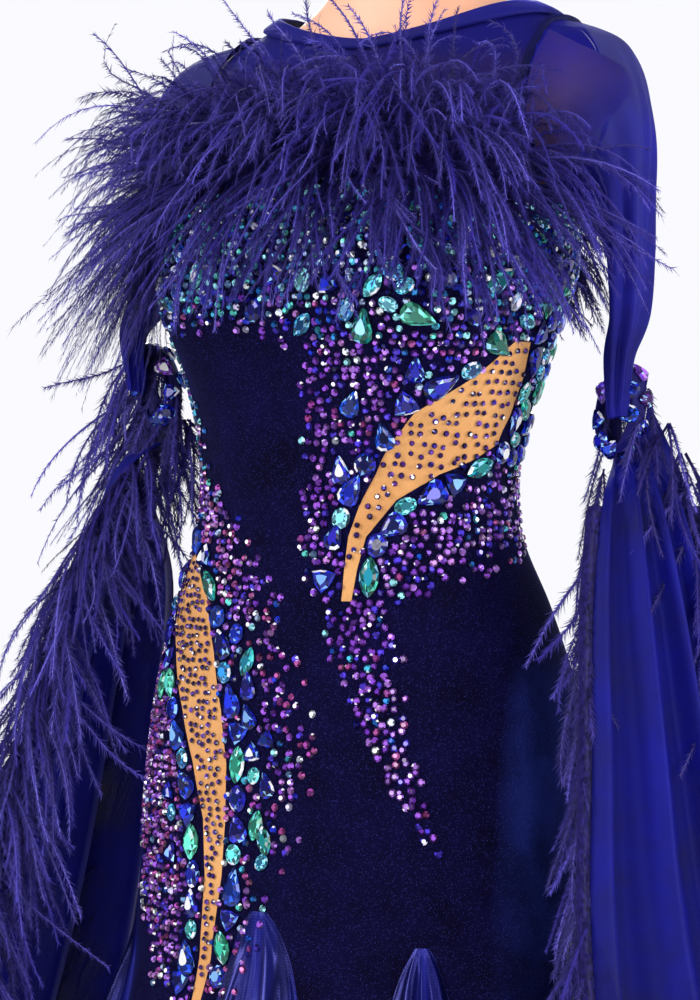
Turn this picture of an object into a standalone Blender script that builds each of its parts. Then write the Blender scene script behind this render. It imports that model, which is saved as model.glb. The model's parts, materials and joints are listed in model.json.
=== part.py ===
"""Ballroom gown on a limbless dress form.

Metres, +Z up, origin on the floor under the middle of the stand. The gown's front faces -Y and its
left side is at +X. Every cloth piece is a wall whose outer side is a grid of points worked out from
the sections and seam lines below; its inner side is the same grid moved in along the normals.
"""
import math
import random

import bmesh
import bpy
import numpy as np
from mathutils import Vector

# Driving dimensions
CLOTH = 0.0014            # velvet and satin wall
MESH = 0.0011             # wall of the sheer mesh and chiffon pieces
SEAM = 0.0003             # room between two pieces at a seam
EASE = 0.0042             # room between the cloth and the form
BUST_Z = 1.268
BUST_OUT = 0.024          # how far each cup stands out from the section
BUST_ANGLE = 35.0
BUST_SPREAD = 24.0
FORM_BOTTOM_Z = 0.84
FORM_TOP_Z = 1.550
HEM_Z = 0.012
HEM_FLARE = 0.27          # how far the hem stands out past the thighs
FLARE_TOP_Z = 0.80        # where the skirt starts to stand out
FOLD_DEPTH = 0.042        # depth of the skirt's flutes at the hem
GODET_SHARE = 31.0        # degrees of the hem that each godet takes
GODET_TOP = 3.6           # degrees across a godet's rounded top
STONE_RISE = 0.0045
BASE_RADIUS = 0.170
BASE_HEIGHT = 0.018
POLE_RADIUS = 0.015
STRAND_WIDTH = 0.0062

# Body sections; columns: z, half width, front depth, back depth, mid x, mid y
SECTIONS = (
    (0.00, 0.190, 0.155, 0.155, 0.000, 0.010),
    (0.70, 0.183, 0.145, 0.148, 0.000, 0.010),
    (0.80, 0.178, 0.136, 0.141, 0.000, 0.010),
    (0.90, 0.172, 0.126, 0.134, 0.000, 0.010),
    (0.97, 0.164, 0.116, 0.126, 0.000, 0.008),
    (1.04, 0.145, 0.104, 0.108, 0.000, 0.004),
    (1.09, 0.127, 0.095, 0.094, 0.000, 0.000),
    (1.13, 0.121, 0.092, 0.089, 0.000, 0.000),
    (1.17, 0.125, 0.096, 0.092, 0.002, 0.000),
    (1.22, 0.138, 0.104, 0.100, 0.006, 0.000),
    (1.27, 0.150, 0.112, 0.108, 0.010, 0.002),
    (1.31, 0.153, 0.112, 0.112, 0.014, 0.004),
    (1.345, 0.150, 0.104, 0.110, 0.018, 0.009),
    (1.376, 0.153, 0.096, 0.104, 0.022, 0.015),
    (1.395, 0.176, 0.090, 0.098, 0.024, 0.018),
    (1.415, 0.190, 0.082, 0.090, 0.026, 0.021),
    (1.435, 0.184, 0.073, 0.080, 0.027, 0.024),
    (1.45, 0.162, 0.066, 0.073, 0.028, 0.026),
    (1.462, 0.137, 0.062, 0.068, 0.029, 0.028),
    (1.475, 0.110, 0.061, 0.064, 0.030, 0.029),
    (1.49, 0.085, 0.060, 0.061, 0.030, 0.030),
    (1.51, 0.067, 0.058, 0.059, 0.031, 0.030),
    (1.55, 0.056, 0.055, 0.057, 0.031, 0.028),
    (1.60, 0.056, 0.055, 0.057, 0.031, 0.028),
)
SQUARENESS = 2.2

# Godets; columns: angle of the middle, measured from the front towards the gown's left, and height of the top
GODETS = ((-72.0, 0.850), (-3.0, 0.827), (36.0, 0.806), (84.0, 0.806),
          (130.0, 0.827), (163.0, 0.827), (198.0, 0.827), (238.0, 0.850))
# Where the front godets' seam lines run on above their tops, as (height, angle) pairs from the top down
RUN_ON = (
    ((1.000, -80.0), (0.900, -72.0)),
    ((1.100, -5.0), (1.050, -3.0)),
    ((1.160, 93.0), (1.148, 86.0), (1.138, 71.0), (1.120, 54.0), (1.094, 43.5), (1.048, 38.0), (0.968, 36.0)),
    ((1.048, 99.5), (0.900, 84.0)),
)
HALF_SEAM = 0.07          # half of a straight seam, in degrees
SIDE_RIGHT = -94.0
SIDE_LEFT = 108.0
CENTRE_BACK = 180.0
ZIP_HALF = 1.7            # half of the zip's tape, in degrees
ZIP_OUT = 0.0018          # how far the tape lies outside the panels

# Seam lines of the two inserts, as (height, angle) pairs from the top down; the hip lines run on to the hem
HIP_TOP_Z = 1.094
HIP_TIP_Z = 0.745
WAIST_TOP_Z = 1.233
WAIST_TIP_Z = 1.048
HIP_OUTER = ((1.380, -62), (1.094, -67), (1.070, -66), (1.048, -64), (1.010, -47), (0.968, -35), (0.930, -27),
             (0.890, -21), (0.850, -19), (0.790, -19), (0.745, -20), (0.012, -44))
HIP_INNER = ((1.380, -48), (1.150, -52), (1.094, -62), (1.070, -43), (1.048, -32), (1.010, -24), (0.968, -18),
             (0.930, -14.5), (0.890, -13.5), (0.850, -13.5), (0.790, -15.5), (0.745, -18), (0.012, -33))
WAIST_UPPER = ((1.380, 66), (1.260, 72), (1.233, 77), (1.207, 61), (1.181, 41), (1.160, 33), (1.148, 30),
               (1.138, 28), (1.120, 23), (1.094, 18), (1.070, 16), (1.048, 14.5), (1.010, 12.5), (0.806, 8),
               (0.64, 14))
WAIST_LOWER = ((1.380, 82), (1.233, 86), (1.207, 88), (1.181, 87), (1.160, 83), (1.148, 69), (1.138, 53),
               (1.120, 36), (1.094, 24), (1.070, 20), (1.048, 17.5), (1.010, 21), (0.806, 22), (0.64, 18))

UPPER_ROWS = (1.380, 1.345, 1.310, 1.285, 1.260, 1.233, 1.207, 1.181, 1.160, 1.148, 1.138, 1.120,
              1.094, 1.070, 1.048, 1.010, 0.968, 0.930, 0.890)
FRONT_ONLY_ROWS = (1.148, 1.120, 1.070)
SKIRT_ROWS = (0.850, 0.827, 0.806, 0.775, 0.745, 0.640, 0.480, 0.310, 0.150, HEM_Z)

# Sleeve rings below the armhole; columns: outer x, outer z, inner x, inner z, mid y, half depth
SLEEVE_LEFT = (
    (0.1850, 1.4600, 0.1760, 1.338, 0.0220, 0.0640),
    (0.2055, 1.4480, 0.1840, 1.329, 0.0210, 0.0520),
    (0.2180, 1.4220, 0.1890, 1.318, 0.0200, 0.0410),
    (0.2245, 1.3900, 0.1970, 1.304, 0.0190, 0.0320),
    (0.2245, 1.3450, 0.2010, 1.286, 0.0180, 0.0250),
    (0.2235, 1.3000, 0.2025, 1.266, 0.0180, 0.0230),
    (0.2210, 1.2550, 0.2030, 1.247, 0.0165, 0.0190),
    (0.2160, 1.2235, 0.2010, 1.2215, 0.0096, 0.0080),
    (0.2120, 1.1900, 0.2010, 1.1880, 0.0104, 0.0072),
)
SLEEVE_RIGHT = (
    (-0.1280, 1.4610, -0.1410, 1.338, 0.0220, 0.0680),
    (-0.1500, 1.4510, -0.1490, 1.329, 0.0210, 0.0620),
    (-0.1680, 1.4270, -0.1560, 1.318, 0.0200, 0.0540),
    (-0.1800, 1.3920, -0.1620, 1.304, 0.0190, 0.0430),
    (-0.1900, 1.3500, -0.1680, 1.290, 0.0180, 0.0320),
    (-0.1980, 1.3100, -0.1740, 1.278, 0.0180, 0.0250),
    (-0.2040, 1.2780, -0.1830, 1.270, 0.0165, 0.0190),
    (-0.2140, 1.2485, -0.1990, 1.2465, 0.0096, 0.0080),
    (-0.2100, 1.2150, -0.1990, 1.2130, 0.0104, 0.0072),
)
# Wrist bands: rings that hang facing the front; columns: mid x, mid y, mid z, half width, half height, depth
BAND_LEFT = (0.200, 0.030, 1.185, 0.0160, 0.0310, 0.018)
BAND_RIGHT = (-0.198, 0.030, 1.210, 0.0160, 0.0310, 0.018)
BAND_TURN = 10.0          # degrees that a band faces in towards the middle
BAND_LEAN = 12.0          # degrees that its lower end swings in
BAND_POINTS = 18
BAND_WALL = 0.0022
BAND_START = -125.0       # where a float starts on its band, in degrees round the ring
BAND_SPAN = 145.0         # how far round the ring it is sewn

# Floats below the band; columns: z, front x, front y, back x, back y, depth of the folds
FLOAT_LEFT = (
    (1.148, 0.188, 0.0425, 0.234, 0.0520, 0.0012),
    (1.115, 0.201, -0.006, 0.243, 0.057, 0.0060),
    (1.040, 0.208, -0.036, 0.262, 0.068, 0.0085),
    (0.940, 0.216, -0.056, 0.280, 0.080, 0.0110),
    (0.840, 0.222, -0.072, 0.300, 0.092, 0.0130),
    (0.740, 0.238, -0.090, 0.322, 0.104, 0.0150),
    (0.640, 0.272, -0.116, 0.346, 0.116, 0.0160),
    (0.540, 0.306, -0.144, 0.370, 0.128, 0.0170),
)
FLOAT_RIGHT = (
    (1.173, -0.186, 0.0425, -0.232, 0.0520, 0.0012),
    (1.140, -0.203, -0.006, -0.232, 0.0570, 0.0045),
    (1.060, -0.216, -0.052, -0.224, 0.068, 0.0085),
    (0.960, -0.232, -0.082, -0.240, 0.080, 0.0110),
    (0.860, -0.248, -0.106, -0.258, 0.092, 0.0130),
    (0.750, -0.268, -0.130, -0.284, 0.104, 0.0150),
    (0.640, -0.296, -0.150, -0.312, 0.116, 0.0160),
    (0.540, -0.326, -0.168, -0.342, 0.128, 0.0170),
)
FLOAT_FOLDS = 4
FLOAT_COLUMNS = 17

FINISH = {
    "velvet": ((0.008, 0.006, 0.060, 1), 0.85, 0.0),
    "satin": ((0.045, 0.050, 0.330, 1), 0.35, 0.0),
    "insert": ((0.700, 0.350, 0.115, 1), 0.75, 0.0),
    "mesh": ((0.014, 0.014, 0.190, 1), 0.70, 0.0),
    "chiffon": ((0.015, 0.017, 0.260, 1), 0.65, 0.0),
    "feather": ((0.050, 0.035, 0.280, 1), 0.80, 0.0),
    "jewel": ((0.030, 0.030, 0.450, 1), 0.15, 0.0),
    "form": ((0.830, 0.450, 0.300, 1), 0.50, 0.0),
    "stand": ((0.550, 0.550, 0.560, 1), 0.35, 0.8),
    "zip": ((0.006, 0.006, 0.070, 1), 0.60, 0.0),
}


def clear_scene():
    for item in list(bpy.data.objects):
        bpy.data.objects.remove(item, do_unlink=True)


def finish(name):
    material = bpy.data.materials.get(name)
    if material:
        return material
    color, roughness, metallic = FINISH[name]
    material = bpy.data.materials.new(name)
    material.use_nodes = True
    shader = material.node_tree.nodes["Principled BSDF"]
    shader.inputs["Base Color"].default_value = color
    shader.inputs["Roughness"].default_value = roughness
    shader.inputs["Metallic"].default_value = metallic
    return material


def add_object(name, bm, material):
    bmesh.ops.recalc_face_normals(bm, faces=bm.faces)
    if bm.calc_volume(signed=True) < 0:
        bmesh.ops.reverse_faces(bm, faces=bm.faces)
    mesh = bpy.data.meshes.new(name)
    bm.to_mesh(mesh)
    bm.free()
    item = bpy.data.objects.new(name, mesh)
    bpy.context.scene.collection.objects.link(item)
    mesh.materials.append(finish(material))
    return item


def curve_value(rows, z, column):
    """Smooth value of one section column at height z, through the table's rows."""
    heights = [row[0] for row in rows]
    last = len(rows) - 1
    k = min(max(sum(h <= z for h in heights) - 1, 0), last - 1)
    t = min(max((z - heights[k]) / (heights[k + 1] - heights[k]), 0.0), 1.0)
    span = heights[k + 1] - heights[k]

    def slope(i):
        lo, hi = max(i - 1, 0), min(i + 1, last)
        return (rows[hi][column] - rows[lo][column]) / (heights[hi] - heights[lo])

    p, q, m, n = rows[k][column], rows[k + 1][column], slope(k) * span, slope(k + 1) * span
    return ((2 * t**3 - 3 * t**2 + 1) * p + (t**3 - 2 * t**2 + t) * m
            + (3 * t**2 - 2 * t**3) * q + (t**3 - t**2) * n)


def wrap(angle):
    return (angle + 180.0) % 360.0 - 180.0


def flare(z):
    return HEM_FLARE * max((FLARE_TOP_Z - z) / FLARE_TOP_Z, 0.0) ** 1.3


def fold_depth(z):
    return FOLD_DEPTH * max((FLARE_TOP_Z - z) / FLARE_TOP_Z, 0.0) ** 0.7


def body(angle, z, out=0.0):
    """Point of the gown's outer side at an angle from the front and a height, moved out level."""
    half, front, back, mid_x, mid_y = (curve_value(SECTIONS, z, k) for k in range(1, 6))
    turn = math.radians(angle)
    s, c = math.sin(turn), math.cos(turn)
    depth = front if c > 0 else back
    power = 2.0 / SQUARENESS
    x = half * math.copysign(abs(s) ** power, s)
    y = -depth * math.copysign(abs(c) ** power, c)
    spread = 0.054 if z < BUST_Z else 0.075
    lift = math.exp(-((z - BUST_Z) / spread) ** 2)
    cup = sum(math.exp(-((wrap(angle) - side * BUST_ANGLE) / BUST_SPREAD) ** 2) for side in (-1, 1))
    length = math.hypot(x, y)
    scale = 1.0 + (BUST_OUT * cup * lift + flare(z) + out) / length
    return Vector((mid_x + x * scale, mid_y + y * scale, z))


def body_normal(angle, z):
    side = body(angle + 1.0, z) - body(angle - 1.0, z)
    rise = body(angle, z + 0.004) - body(angle, z - 0.004)
    return side.cross(rise).normalized()


def on_body(angle, z, out=0.0):
    """Point moved out from the gown's outer side along its normal."""
    return body(angle, z) + out * body_normal(angle, z)


def top_line(angle):
    """Height of the strapless top edge."""
    c = math.cos(math.radians(angle))
    return 1.342 + (0.038 if c > 0 else 0.012) * c * c


def row_height(angle, z):
    """A row's height: the rows above the bust close up under the top edge."""
    low, high = 1.300, 1.380
    if z <= low:
        return z
    return low + (z - low) * (top_line(angle) - low) / (high - low)


def line(pairs, z):
    heights = [pair[0] for pair in reversed(pairs)]
    angles = [pair[1] for pair in reversed(pairs)]
    return float(np.interp(z, heights, angles))


def godet_half(index, z):
    """Half of the angle that a godet takes at height z."""
    drop = max(GODETS[index][1] - z, 0.0)
    return GODET_TOP / 2 + (GODET_SHARE - GODET_TOP) / 2 * drop / (drop + 0.060) * 1.07


def godet_edge(index, side, z):
    """A godet's seam; above its top the line runs on through the panel."""
    middle = line(RUN_ON[index], z) if index < len(RUN_ON) else GODETS[index][0]
    return middle + side * godet_half(index, z)


def wave(angle, z):
    """Flutes of the skirt, from -1 in a valley to 1 on a crest: two on a godet, a low one on a gore."""
    turned = angle % 360.0
    for index, (middle, _) in enumerate(GODETS):
        away = wrap(turned - middle)
        half = godet_half(index, z)
        if abs(away) <= half:
            return -math.cos(2 * math.pi * (away + half) / half)
    middles = sorted((m % 360.0, godet_half(i, z)) for i, (m, _) in enumerate(GODETS))
    middles.append((middles[0][0] + 360.0, middles[0][1]))
    middles.insert(0, (middles[-2][0] - 360.0, middles[-2][1]))
    for (left, left_half), (right, right_half) in zip(middles, middles[1:]):
        start, end = left + left_half, right - right_half
        if start <= turned <= end:
            return -1 + 1.3 * math.sin(math.pi * (turned - start) / (end - start)) ** 2 * (end - start) / 40
    return -1.0


def skin(angle, z, out=0.0):
    """The gown's outer side from the top edge to the hem."""
    return body(angle, row_height(angle, z), fold_depth(z) * wave(angle, z) + out)


def skin_normal(angle, z):
    across = skin(angle + 0.6, z) - skin(angle - 0.6, z)
    down = skin(angle, z - 0.003) - skin(angle, z + 0.003)
    return down.cross(across).normalized()


def skin_grid(rows, columns_at):
    """Points and normals of a panel: columns_at gives a row's angles."""
    angles = [columns_at(z) for z in rows]
    points = [[skin(angle, z) for angle in line_angles] for z, line_angles in zip(rows, angles)]
    normals = [[skin_normal(angle, z) for angle in line_angles] for z, line_angles in zip(rows, angles)]
    return points, normals


def grid_normals(points, closed=False):
    rows, columns = len(points), len(points[0])
    normals = []
    for i in range(rows):
        line_normals = []
        for j in range(columns):
            left, right = j - 1, j + 1
            if closed:
                left, right = left % columns, right % columns
            else:
                left, right = max(left, 0), min(right, columns - 1)
            across = points[i][right] - points[i][left]
            down = points[min(i + 1, rows - 1)][j] - points[max(i - 1, 0)][j]
            line_normals.append(down.cross(across).normalized())
        normals.append(line_normals)
    return normals


def wall(name, points, thick, material, closed=False, skip=(), rise=None, normals=None):
    """A cloth wall: rows run down and columns run to the gown's left, seen from outside."""
    rows, columns = len(points), len(points[0])
    normals = normals or grid_normals(points, closed)
    bm = bmesh.new()
    outer, inner, edges = {}, {}, {}
    span = columns if closed else columns - 1

    def corner(i, j):
        key = (i, j % columns)
        if key not in outer:
            point, normal = points[i][key[1]], normals[i][key[1]]
            lift = rise(i, key[1]) if rise else 0.0
            outer[key] = bm.verts.new(point + lift * normal)
            inner[key] = bm.verts.new(point - thick * normal)
        return key

    for i in range(rows - 1):
        for j in range(span):
            if (i, j) in skip:
                continue
            keys = [corner(i, j), corner(i + 1, j), corner(i + 1, j + 1), corner(i, j + 1)]
            for corners in (keys[:3], [keys[0], keys[2], keys[3]]):
                bm.faces.new([outer[key] for key in corners])
                bm.faces.new([inner[key] for key in reversed(corners)])
            for a, b in zip(keys, keys[1:] + keys[:1]):
                if (b, a) in edges:
                    edges.pop((b, a))
                else:
                    edges[(a, b)] = True
    for a, b in edges:
        bm.faces.new([outer[b], outer[a], inner[a], inner[b]])
    return add_object(name, bm, material)


def spread(start, end, count):
    return [start + (end - start) * k / count for k in range(count + 1)]


def front_lines(z):
    """The front panel's columns at one height, from the right side seam to the left side seam."""
    hip_outer, hip_inner = line(HIP_OUTER, z), line(HIP_INNER, z)
    upper, lower = line(WAIST_UPPER, z), line(WAIST_LOWER, z)
    edge = [[godet_edge(k, side, z) for side in (-1, 1)] for k in range(4)]
    lines = spread(SIDE_RIGHT + HALF_SEAM, edge[0][0], 2)
    lines += spread(edge[0][1], hip_outer, 3)
    lines += spread(hip_outer, hip_inner, 1)[1:]
    lines += spread(hip_inner, edge[1][0], 3)[1:]
    lines += spread(edge[1][1], upper, 5)
    lines += spread(upper, lower, 3)[1:]
    lines += spread(lower, edge[2][0], 2)[1:]
    lines += spread(edge[2][1], edge[3][0], 3)
    lines += spread(edge[3][1], SIDE_LEFT - HALF_SEAM, 2)
    return lines


COLUMN = {"godet_0": 2, "hip": 6, "godet_1": 10, "waist": 16, "godet_2": 21, "godet_3": 25}


def slots(rows, columns):
    """Cells left open for the godets below their tops; columns gives each godet's own column."""
    open_cells = set()
    for index, column in columns.items():
        for i, z in enumerate(rows[:-1]):
            if z <= GODETS[index][1] + 1e-6:
                open_cells.add((i, column))
    return open_cells


def between(rows, top, bottom, column, count=1):
    """Cells left open for an insert between its top and its tip."""
    return {(i, column + k) for i, z in enumerate(rows[:-1]) for k in range(count)
            if bottom + 1e-6 < z <= top + 1e-6}


def build_front():
    rows = UPPER_ROWS + SKIRT_ROWS
    points, normals = skin_grid(rows, front_lines)
    skip = slots(rows, {0: COLUMN["godet_0"], 1: COLUMN["godet_1"], 2: COLUMN["godet_2"],
                        3: COLUMN["godet_3"]})
    skip |= between(rows, HIP_TOP_Z, HIP_TIP_Z, COLUMN["hip"])
    skip |= between(rows, WAIST_TOP_Z, WAIST_TIP_Z, COLUMN["waist"], 3)
    bust_rows = range(3, 6)
    edge_columns = (COLUMN["hip"] - 1, COLUMN["hip"] + 2, COLUMN["waist"] - 1, COLUMN["waist"] + 4)

    def rise(i, j):
        """Large stones: on the bust, and along both inserts."""
        z = rows[i]
        on_bust = i in bust_rows and (i + j) % 2 == 0 and 1 < j < len(points[0]) - 3
        by_hip = j in edge_columns[:2] and 0.78 < z < 1.09 and i % 2 == 0
        by_waist = j in edge_columns[2:] and 1.06 < z < 1.23 and i % 2 == 0
        return STONE_RISE if on_bust or by_hip or by_waist else 0.0

    wall("body_front", points, CLOTH, "velvet", skip=skip, rise=rise, normals=normals)


def build_back():
    rows = [z for z in UPPER_ROWS + SKIRT_ROWS if z not in FRONT_ONLY_ROWS]

    def left_lines(z):
        edge = [[godet_edge(k, side, z) for side in (-1, 1)] for k in (4, 5)]
        return (spread(SIDE_LEFT + HALF_SEAM, edge[0][0], 2) + spread(edge[0][1], edge[1][0], 3)
                + spread(edge[1][1], CENTRE_BACK - HALF_SEAM, 2))

    def right_lines(z):
        edge = [[godet_edge(k, side, z) for side in (-1, 1)] for k in (6, 7)]
        return (spread(CENTRE_BACK + HALF_SEAM, edge[0][0], 2) + spread(edge[0][1], edge[1][0], 3)
                + spread(edge[1][1], SIDE_RIGHT + 360 - HALF_SEAM, 2))

    points, normals = skin_grid(rows, left_lines)
    wall("body_back_left", points, CLOTH, "velvet", skip=slots(rows, {4: 2, 5: 6}), normals=normals)
    points, normals = skin_grid(rows, right_lines)
    wall("body_back_right", points, CLOTH, "velvet", skip=slots(rows, {6: 2, 7: 6}), normals=normals)


def build_zip():
    rows = [z for z in UPPER_ROWS if 0.95 < z < 1.30 and z not in FRONT_ONLY_ROWS]
    half = ZIP_HALF
    points = [[on_body(angle, z, ZIP_OUT) for angle in spread(CENTRE_BACK - half, CENTRE_BACK + half, 2)]
              for z in rows]
    wall("back_zip", points, CLOTH, "zip")


def seam_angle(pairs, rows, i):
    """Room at a slanting seam, as an angle wide enough for the steeper of the two stretches beside a row."""
    radius = 0.140
    slopes = [0.0]
    for a, b in ((i - 1, i), (i, i + 1)):
        if 0 <= a and b < len(rows):
            turn = math.radians(line(pairs, rows[a]) - line(pairs, rows[b]))
            slopes.append(abs(turn * radius / (rows[a] - rows[b])))
    return math.degrees(1.2 * SEAM * math.hypot(1.0, max(slopes)) / radius)


def build_insert(name, left_pairs, right_pairs, top, tip, columns):
    rows = [z for z in UPPER_ROWS + SKIRT_ROWS if tip - 1e-6 <= z <= top + 1e-6]
    points, normals = [], []
    for i, z in enumerate(rows):
        height = z - 2 * SEAM if i == 0 else z + 2 * SEAM if i == len(rows) - 1 else z
        left = line(left_pairs, z) + seam_angle(left_pairs, rows, i)
        right = line(right_pairs, z) - seam_angle(right_pairs, rows, i)
        points.append([skin(angle, height) for angle in spread(left, right, columns)])
        normals.append([skin_normal(angle, height) for angle in spread(left, right, columns)])
    wall(name, points, CLOTH, "insert", normals=normals)


def build_godet(index):
    top = GODETS[index][1]
    rows = [z for z in SKIRT_ROWS if z <= top + 1e-6]
    if rows[0] < top:
        rows.insert(0, top)
    points, normals = [], []
    for i, z in enumerate(rows):
        gap = math.degrees(SEAM / 0.16) * (1.6 if z > 0.7 else 0.6)
        height = z - SEAM if i == 0 else z
        middle, half = GODETS[index][0], godet_half(index, z) - gap
        angles = spread(middle - half, middle + half, 8)
        points.append([skin(angle, height) for angle in angles])
        normals.append([skin_normal(angle, height) for angle in angles])
    wall("godet_%d" % (index + 1), points, CLOTH, "satin", normals=normals)


# Yoke and sleeves: the armhole is a closed line on the body, from the shoulder down and up again
ARMHOLE_MID_Z = 1.405
ARMHOLE_HALF_Z = 0.061
# Armhole; columns: height, distance from the middle
ARMHOLE_ROWS = ((1.344, 0.150), (1.370, 0.137), (1.410, 0.134), (1.450, 0.132), (1.466, 0.128))
NECK_FRONT_Z = 1.452
NECK_BACK_Z = 1.462
NECK_SIDE_Z = 1.4785
YOKE_LAP = 0.0016          # room between the bodice top and the yoke
YOKE_ROWS = 7
YOKE_HALF = 6              # columns on each side of the middle
YOKE_SEAM = 0.20           # half of the shoulder seam, in degrees
SHOULDER_SHARE = 0.86      # where the armhole gives way to the shoulder seam on a yoke's side
NECK_SIDE_X = 0.105
SLEEVE_POINTS = 16
BINDING_OUT = 0.0044       # how far the neck binding lies outside the yoke
BINDING = 0.0018
SLEEVE_OUT = 0.0017        # how far the sleeve's head lies outside the yoke


def armhole(turn, side, room=0.0):
    """Angle and height of the armhole; turn 0 is its top and the front comes first."""
    height = ARMHOLE_MID_Z + ARMHOLE_HALF_Z * math.cos(turn)
    width = float(np.interp(height, *zip(*ARMHOLE_ROWS))) - room * abs(math.sin(turn))
    half = curve_value(SECTIONS, height, 1)
    angle = math.degrees(math.asin(min((width / half) ** (SQUARENESS / 2), 1.0)))
    angle = 90.0 + (angle - 90.0) * min(4 * abs(math.sin(turn)), 1.0)
    if math.sin(turn) < -1e-6:
        angle = 180.0 - angle
    return side * angle, height


def yoke_spot(front, share, t):
    """Angle and height on a yoke: share runs from armhole to armhole, t from the bodice to the neck."""
    middle = 0.0 if front else 180.0
    neck_z = NECK_FRONT_Z if front else NECK_BACK_Z
    low_side, high_side = ARMHOLE_MID_Z - ARMHOLE_HALF_Z, ARMHOLE_MID_Z + ARMHOLE_HALF_Z
    if t < SHOULDER_SHARE:
        side_z = ARMHOLE_MID_Z - ARMHOLE_HALF_Z * math.cos(math.pi * t / SHOULDER_SHARE)
        side_x = float(np.interp(side_z, *zip(*ARMHOLE_ROWS)))
    else:
        along = (t - SHOULDER_SHARE) / (1 - SHOULDER_SHARE)
        side_z = high_side + (NECK_SIDE_Z - high_side) * along
        side_x = ARMHOLE_ROWS[-1][1] + (NECK_SIDE_X - ARMHOLE_ROWS[-1][1]) * along

    def bottom(away):
        return low_side + YOKE_LAP + (top_line(middle) - low_side) * (1 - away ** SQUARENESS)

    def neck(away):
        return neck_z + (NECK_SIDE_Z - neck_z) * away ** 1.5

    away = abs(share)
    z = (1 - t) * bottom(away) + t * neck(away)
    z += away * away * (side_z - (1 - t) * bottom(1.0) - t * neck(1.0))
    half = curve_value(SECTIONS, z, 1)
    angle = math.degrees(math.asin(min((away * side_x / half) ** (SQUARENESS / 2), 1.0)))
    angle = min(angle, 90.0 - YOKE_SEAM)
    return middle + math.copysign(angle, share), z


def build_yoke(name, front):
    """Sheer yoke from the bodice's top edge to the neck, between the armholes."""
    points, normals = [], []
    for i in range(YOKE_ROWS):
        t = 1.0 - i / (YOKE_ROWS - 1)
        spots = [yoke_spot(front, k / YOKE_HALF, t) for k in range(-YOKE_HALF, YOKE_HALF + 1)]
        points.append([body(*spot) for spot in spots])
        normals.append([body_normal(*spot) for spot in spots])
    wall(name, points, MESH, "mesh", normals=normals)


def build_neck_binding():
    """Binding on the neck edge, from the yoke's own points moved out."""
    points = []
    for t in (1.02, 0.92):
        spots = [yoke_spot(True, k / YOKE_HALF, t) for k in range(-YOKE_HALF, YOKE_HALF + 1)]
        spots += [yoke_spot(False, k / YOKE_HALF, t) for k in range(1 - YOKE_HALF, YOKE_HALF)]
        row = [on_body(angle, z, BINDING_OUT) for angle, z in spots]
        points.append(row)
    wall("neck_binding", points, BINDING, "chiffon", closed=True)


def ring_point(row, turn, ripple=0.0):
    outer_x, outer_z, inner_x, inner_z, mid_y, depth = row
    mid = Vector(((outer_x + inner_x) / 2, mid_y, (outer_z + inner_z) / 2))
    arm = Vector(((outer_x - inner_x) / 2, 0, (outer_z - inner_z) / 2))
    swell = 1.0 + ripple * math.cos(4 * turn)
    return mid + arm * math.cos(turn) * swell - Vector((0, depth, 0)) * math.sin(turn) * swell


def band_ring(row, turn, back, out=0.0):
    """Point of a wrist band: turn 0 is its outer side, and back is the distance behind its front edge."""
    mid_x, mid_y, mid_z, half_width, half_height, depth = row
    side = math.copysign(1.0, mid_x)
    heading, lean = math.radians(BAND_TURN), math.radians(BAND_LEAN)
    across = Vector((side * math.cos(heading), -math.sin(heading), 0))
    front = Vector((-side * math.sin(heading), -math.cos(heading), 0))
    level, height = (half_width + out) * math.cos(turn), (half_height + out) * math.sin(turn)
    level, height = (level * math.cos(lean) + height * math.sin(lean),
                     height * math.cos(lean) - level * math.sin(lean))
    return Vector((mid_x, mid_y, mid_z + height)) + across * level + front * (depth / 2 - back)


def build_sleeve(name, rows, side):
    turns = [2 * math.pi * k / SLEEVE_POINTS for k in range(SLEEVE_POINTS)]
    points = []
    seam = []
    for turn in turns:
        angle, z = armhole(turn, side, room=0.002)
        seam.append(on_body(angle, z, SLEEVE_OUT))
    points.append(seam)
    count = len(rows)
    for k, row in enumerate(rows):
        points.append([ring_point(row, turn, 0.10 * k / count) for turn in turns])
    if side < 0:
        points = [[row[0]] + row[:0:-1] for row in points]
    wall(name, points, MESH, "mesh", closed=True)


def build_band(name, row):
    """Wrist band: a short stiff cuff with large stones standing on its outside."""
    depth = row[5]
    side = math.copysign(1.0, row[0])
    turns = [2 * math.pi * k / BAND_POINTS for k in range(BAND_POINTS)]
    points = [[band_ring(row, turn, depth * share) for turn in turns] for share in (0, 0.5, 1)]
    if side < 0:
        points = [[line_points[0]] + line_points[:0:-1] for line_points in points]

    def rise(i, j):
        return STONE_RISE if i == 1 and j % 2 == 0 else 0.0

    wall(name, points, BAND_WALL, "jewel", closed=True, rise=rise)


def float_point(row, u, side):
    """Point of a float: u runs from the front edge to the back edge."""
    z, front_x, front_y, back_x, back_y, fold = row
    start, end = Vector((front_x, front_y, 0)), Vector((back_x, back_y, 0))
    along = end - start
    out = Vector((along.y, -along.x, 0)).normalized() * side
    bow = 0.16 * along.length * math.sin(math.pi * u)
    swing = fold * math.sin(2 * math.pi * FLOAT_FOLDS * u + 0.5)
    return start + along * u + out * (bow + swing) + Vector((0, 0, z))


def float_rows(rows, band, side):
    """Points of a float from the front edge to the back edge: the top row follows the band's back edge."""
    steps = spread(0.0, 1.0, FLOAT_COLUMNS - 1)
    top = [band_ring(band, math.radians(BAND_START + BAND_SPAN * u), band[5] + 2 * SEAM) for u in steps]
    return [top] + [[float_point(row, u, side) for u in steps] for row in rows]


def build_float(name, rows, band, side):
    points = float_rows(rows, band, side)
    wall(name, [row if side > 0 else row[::-1] for row in points], MESH, "chiffon")


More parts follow.
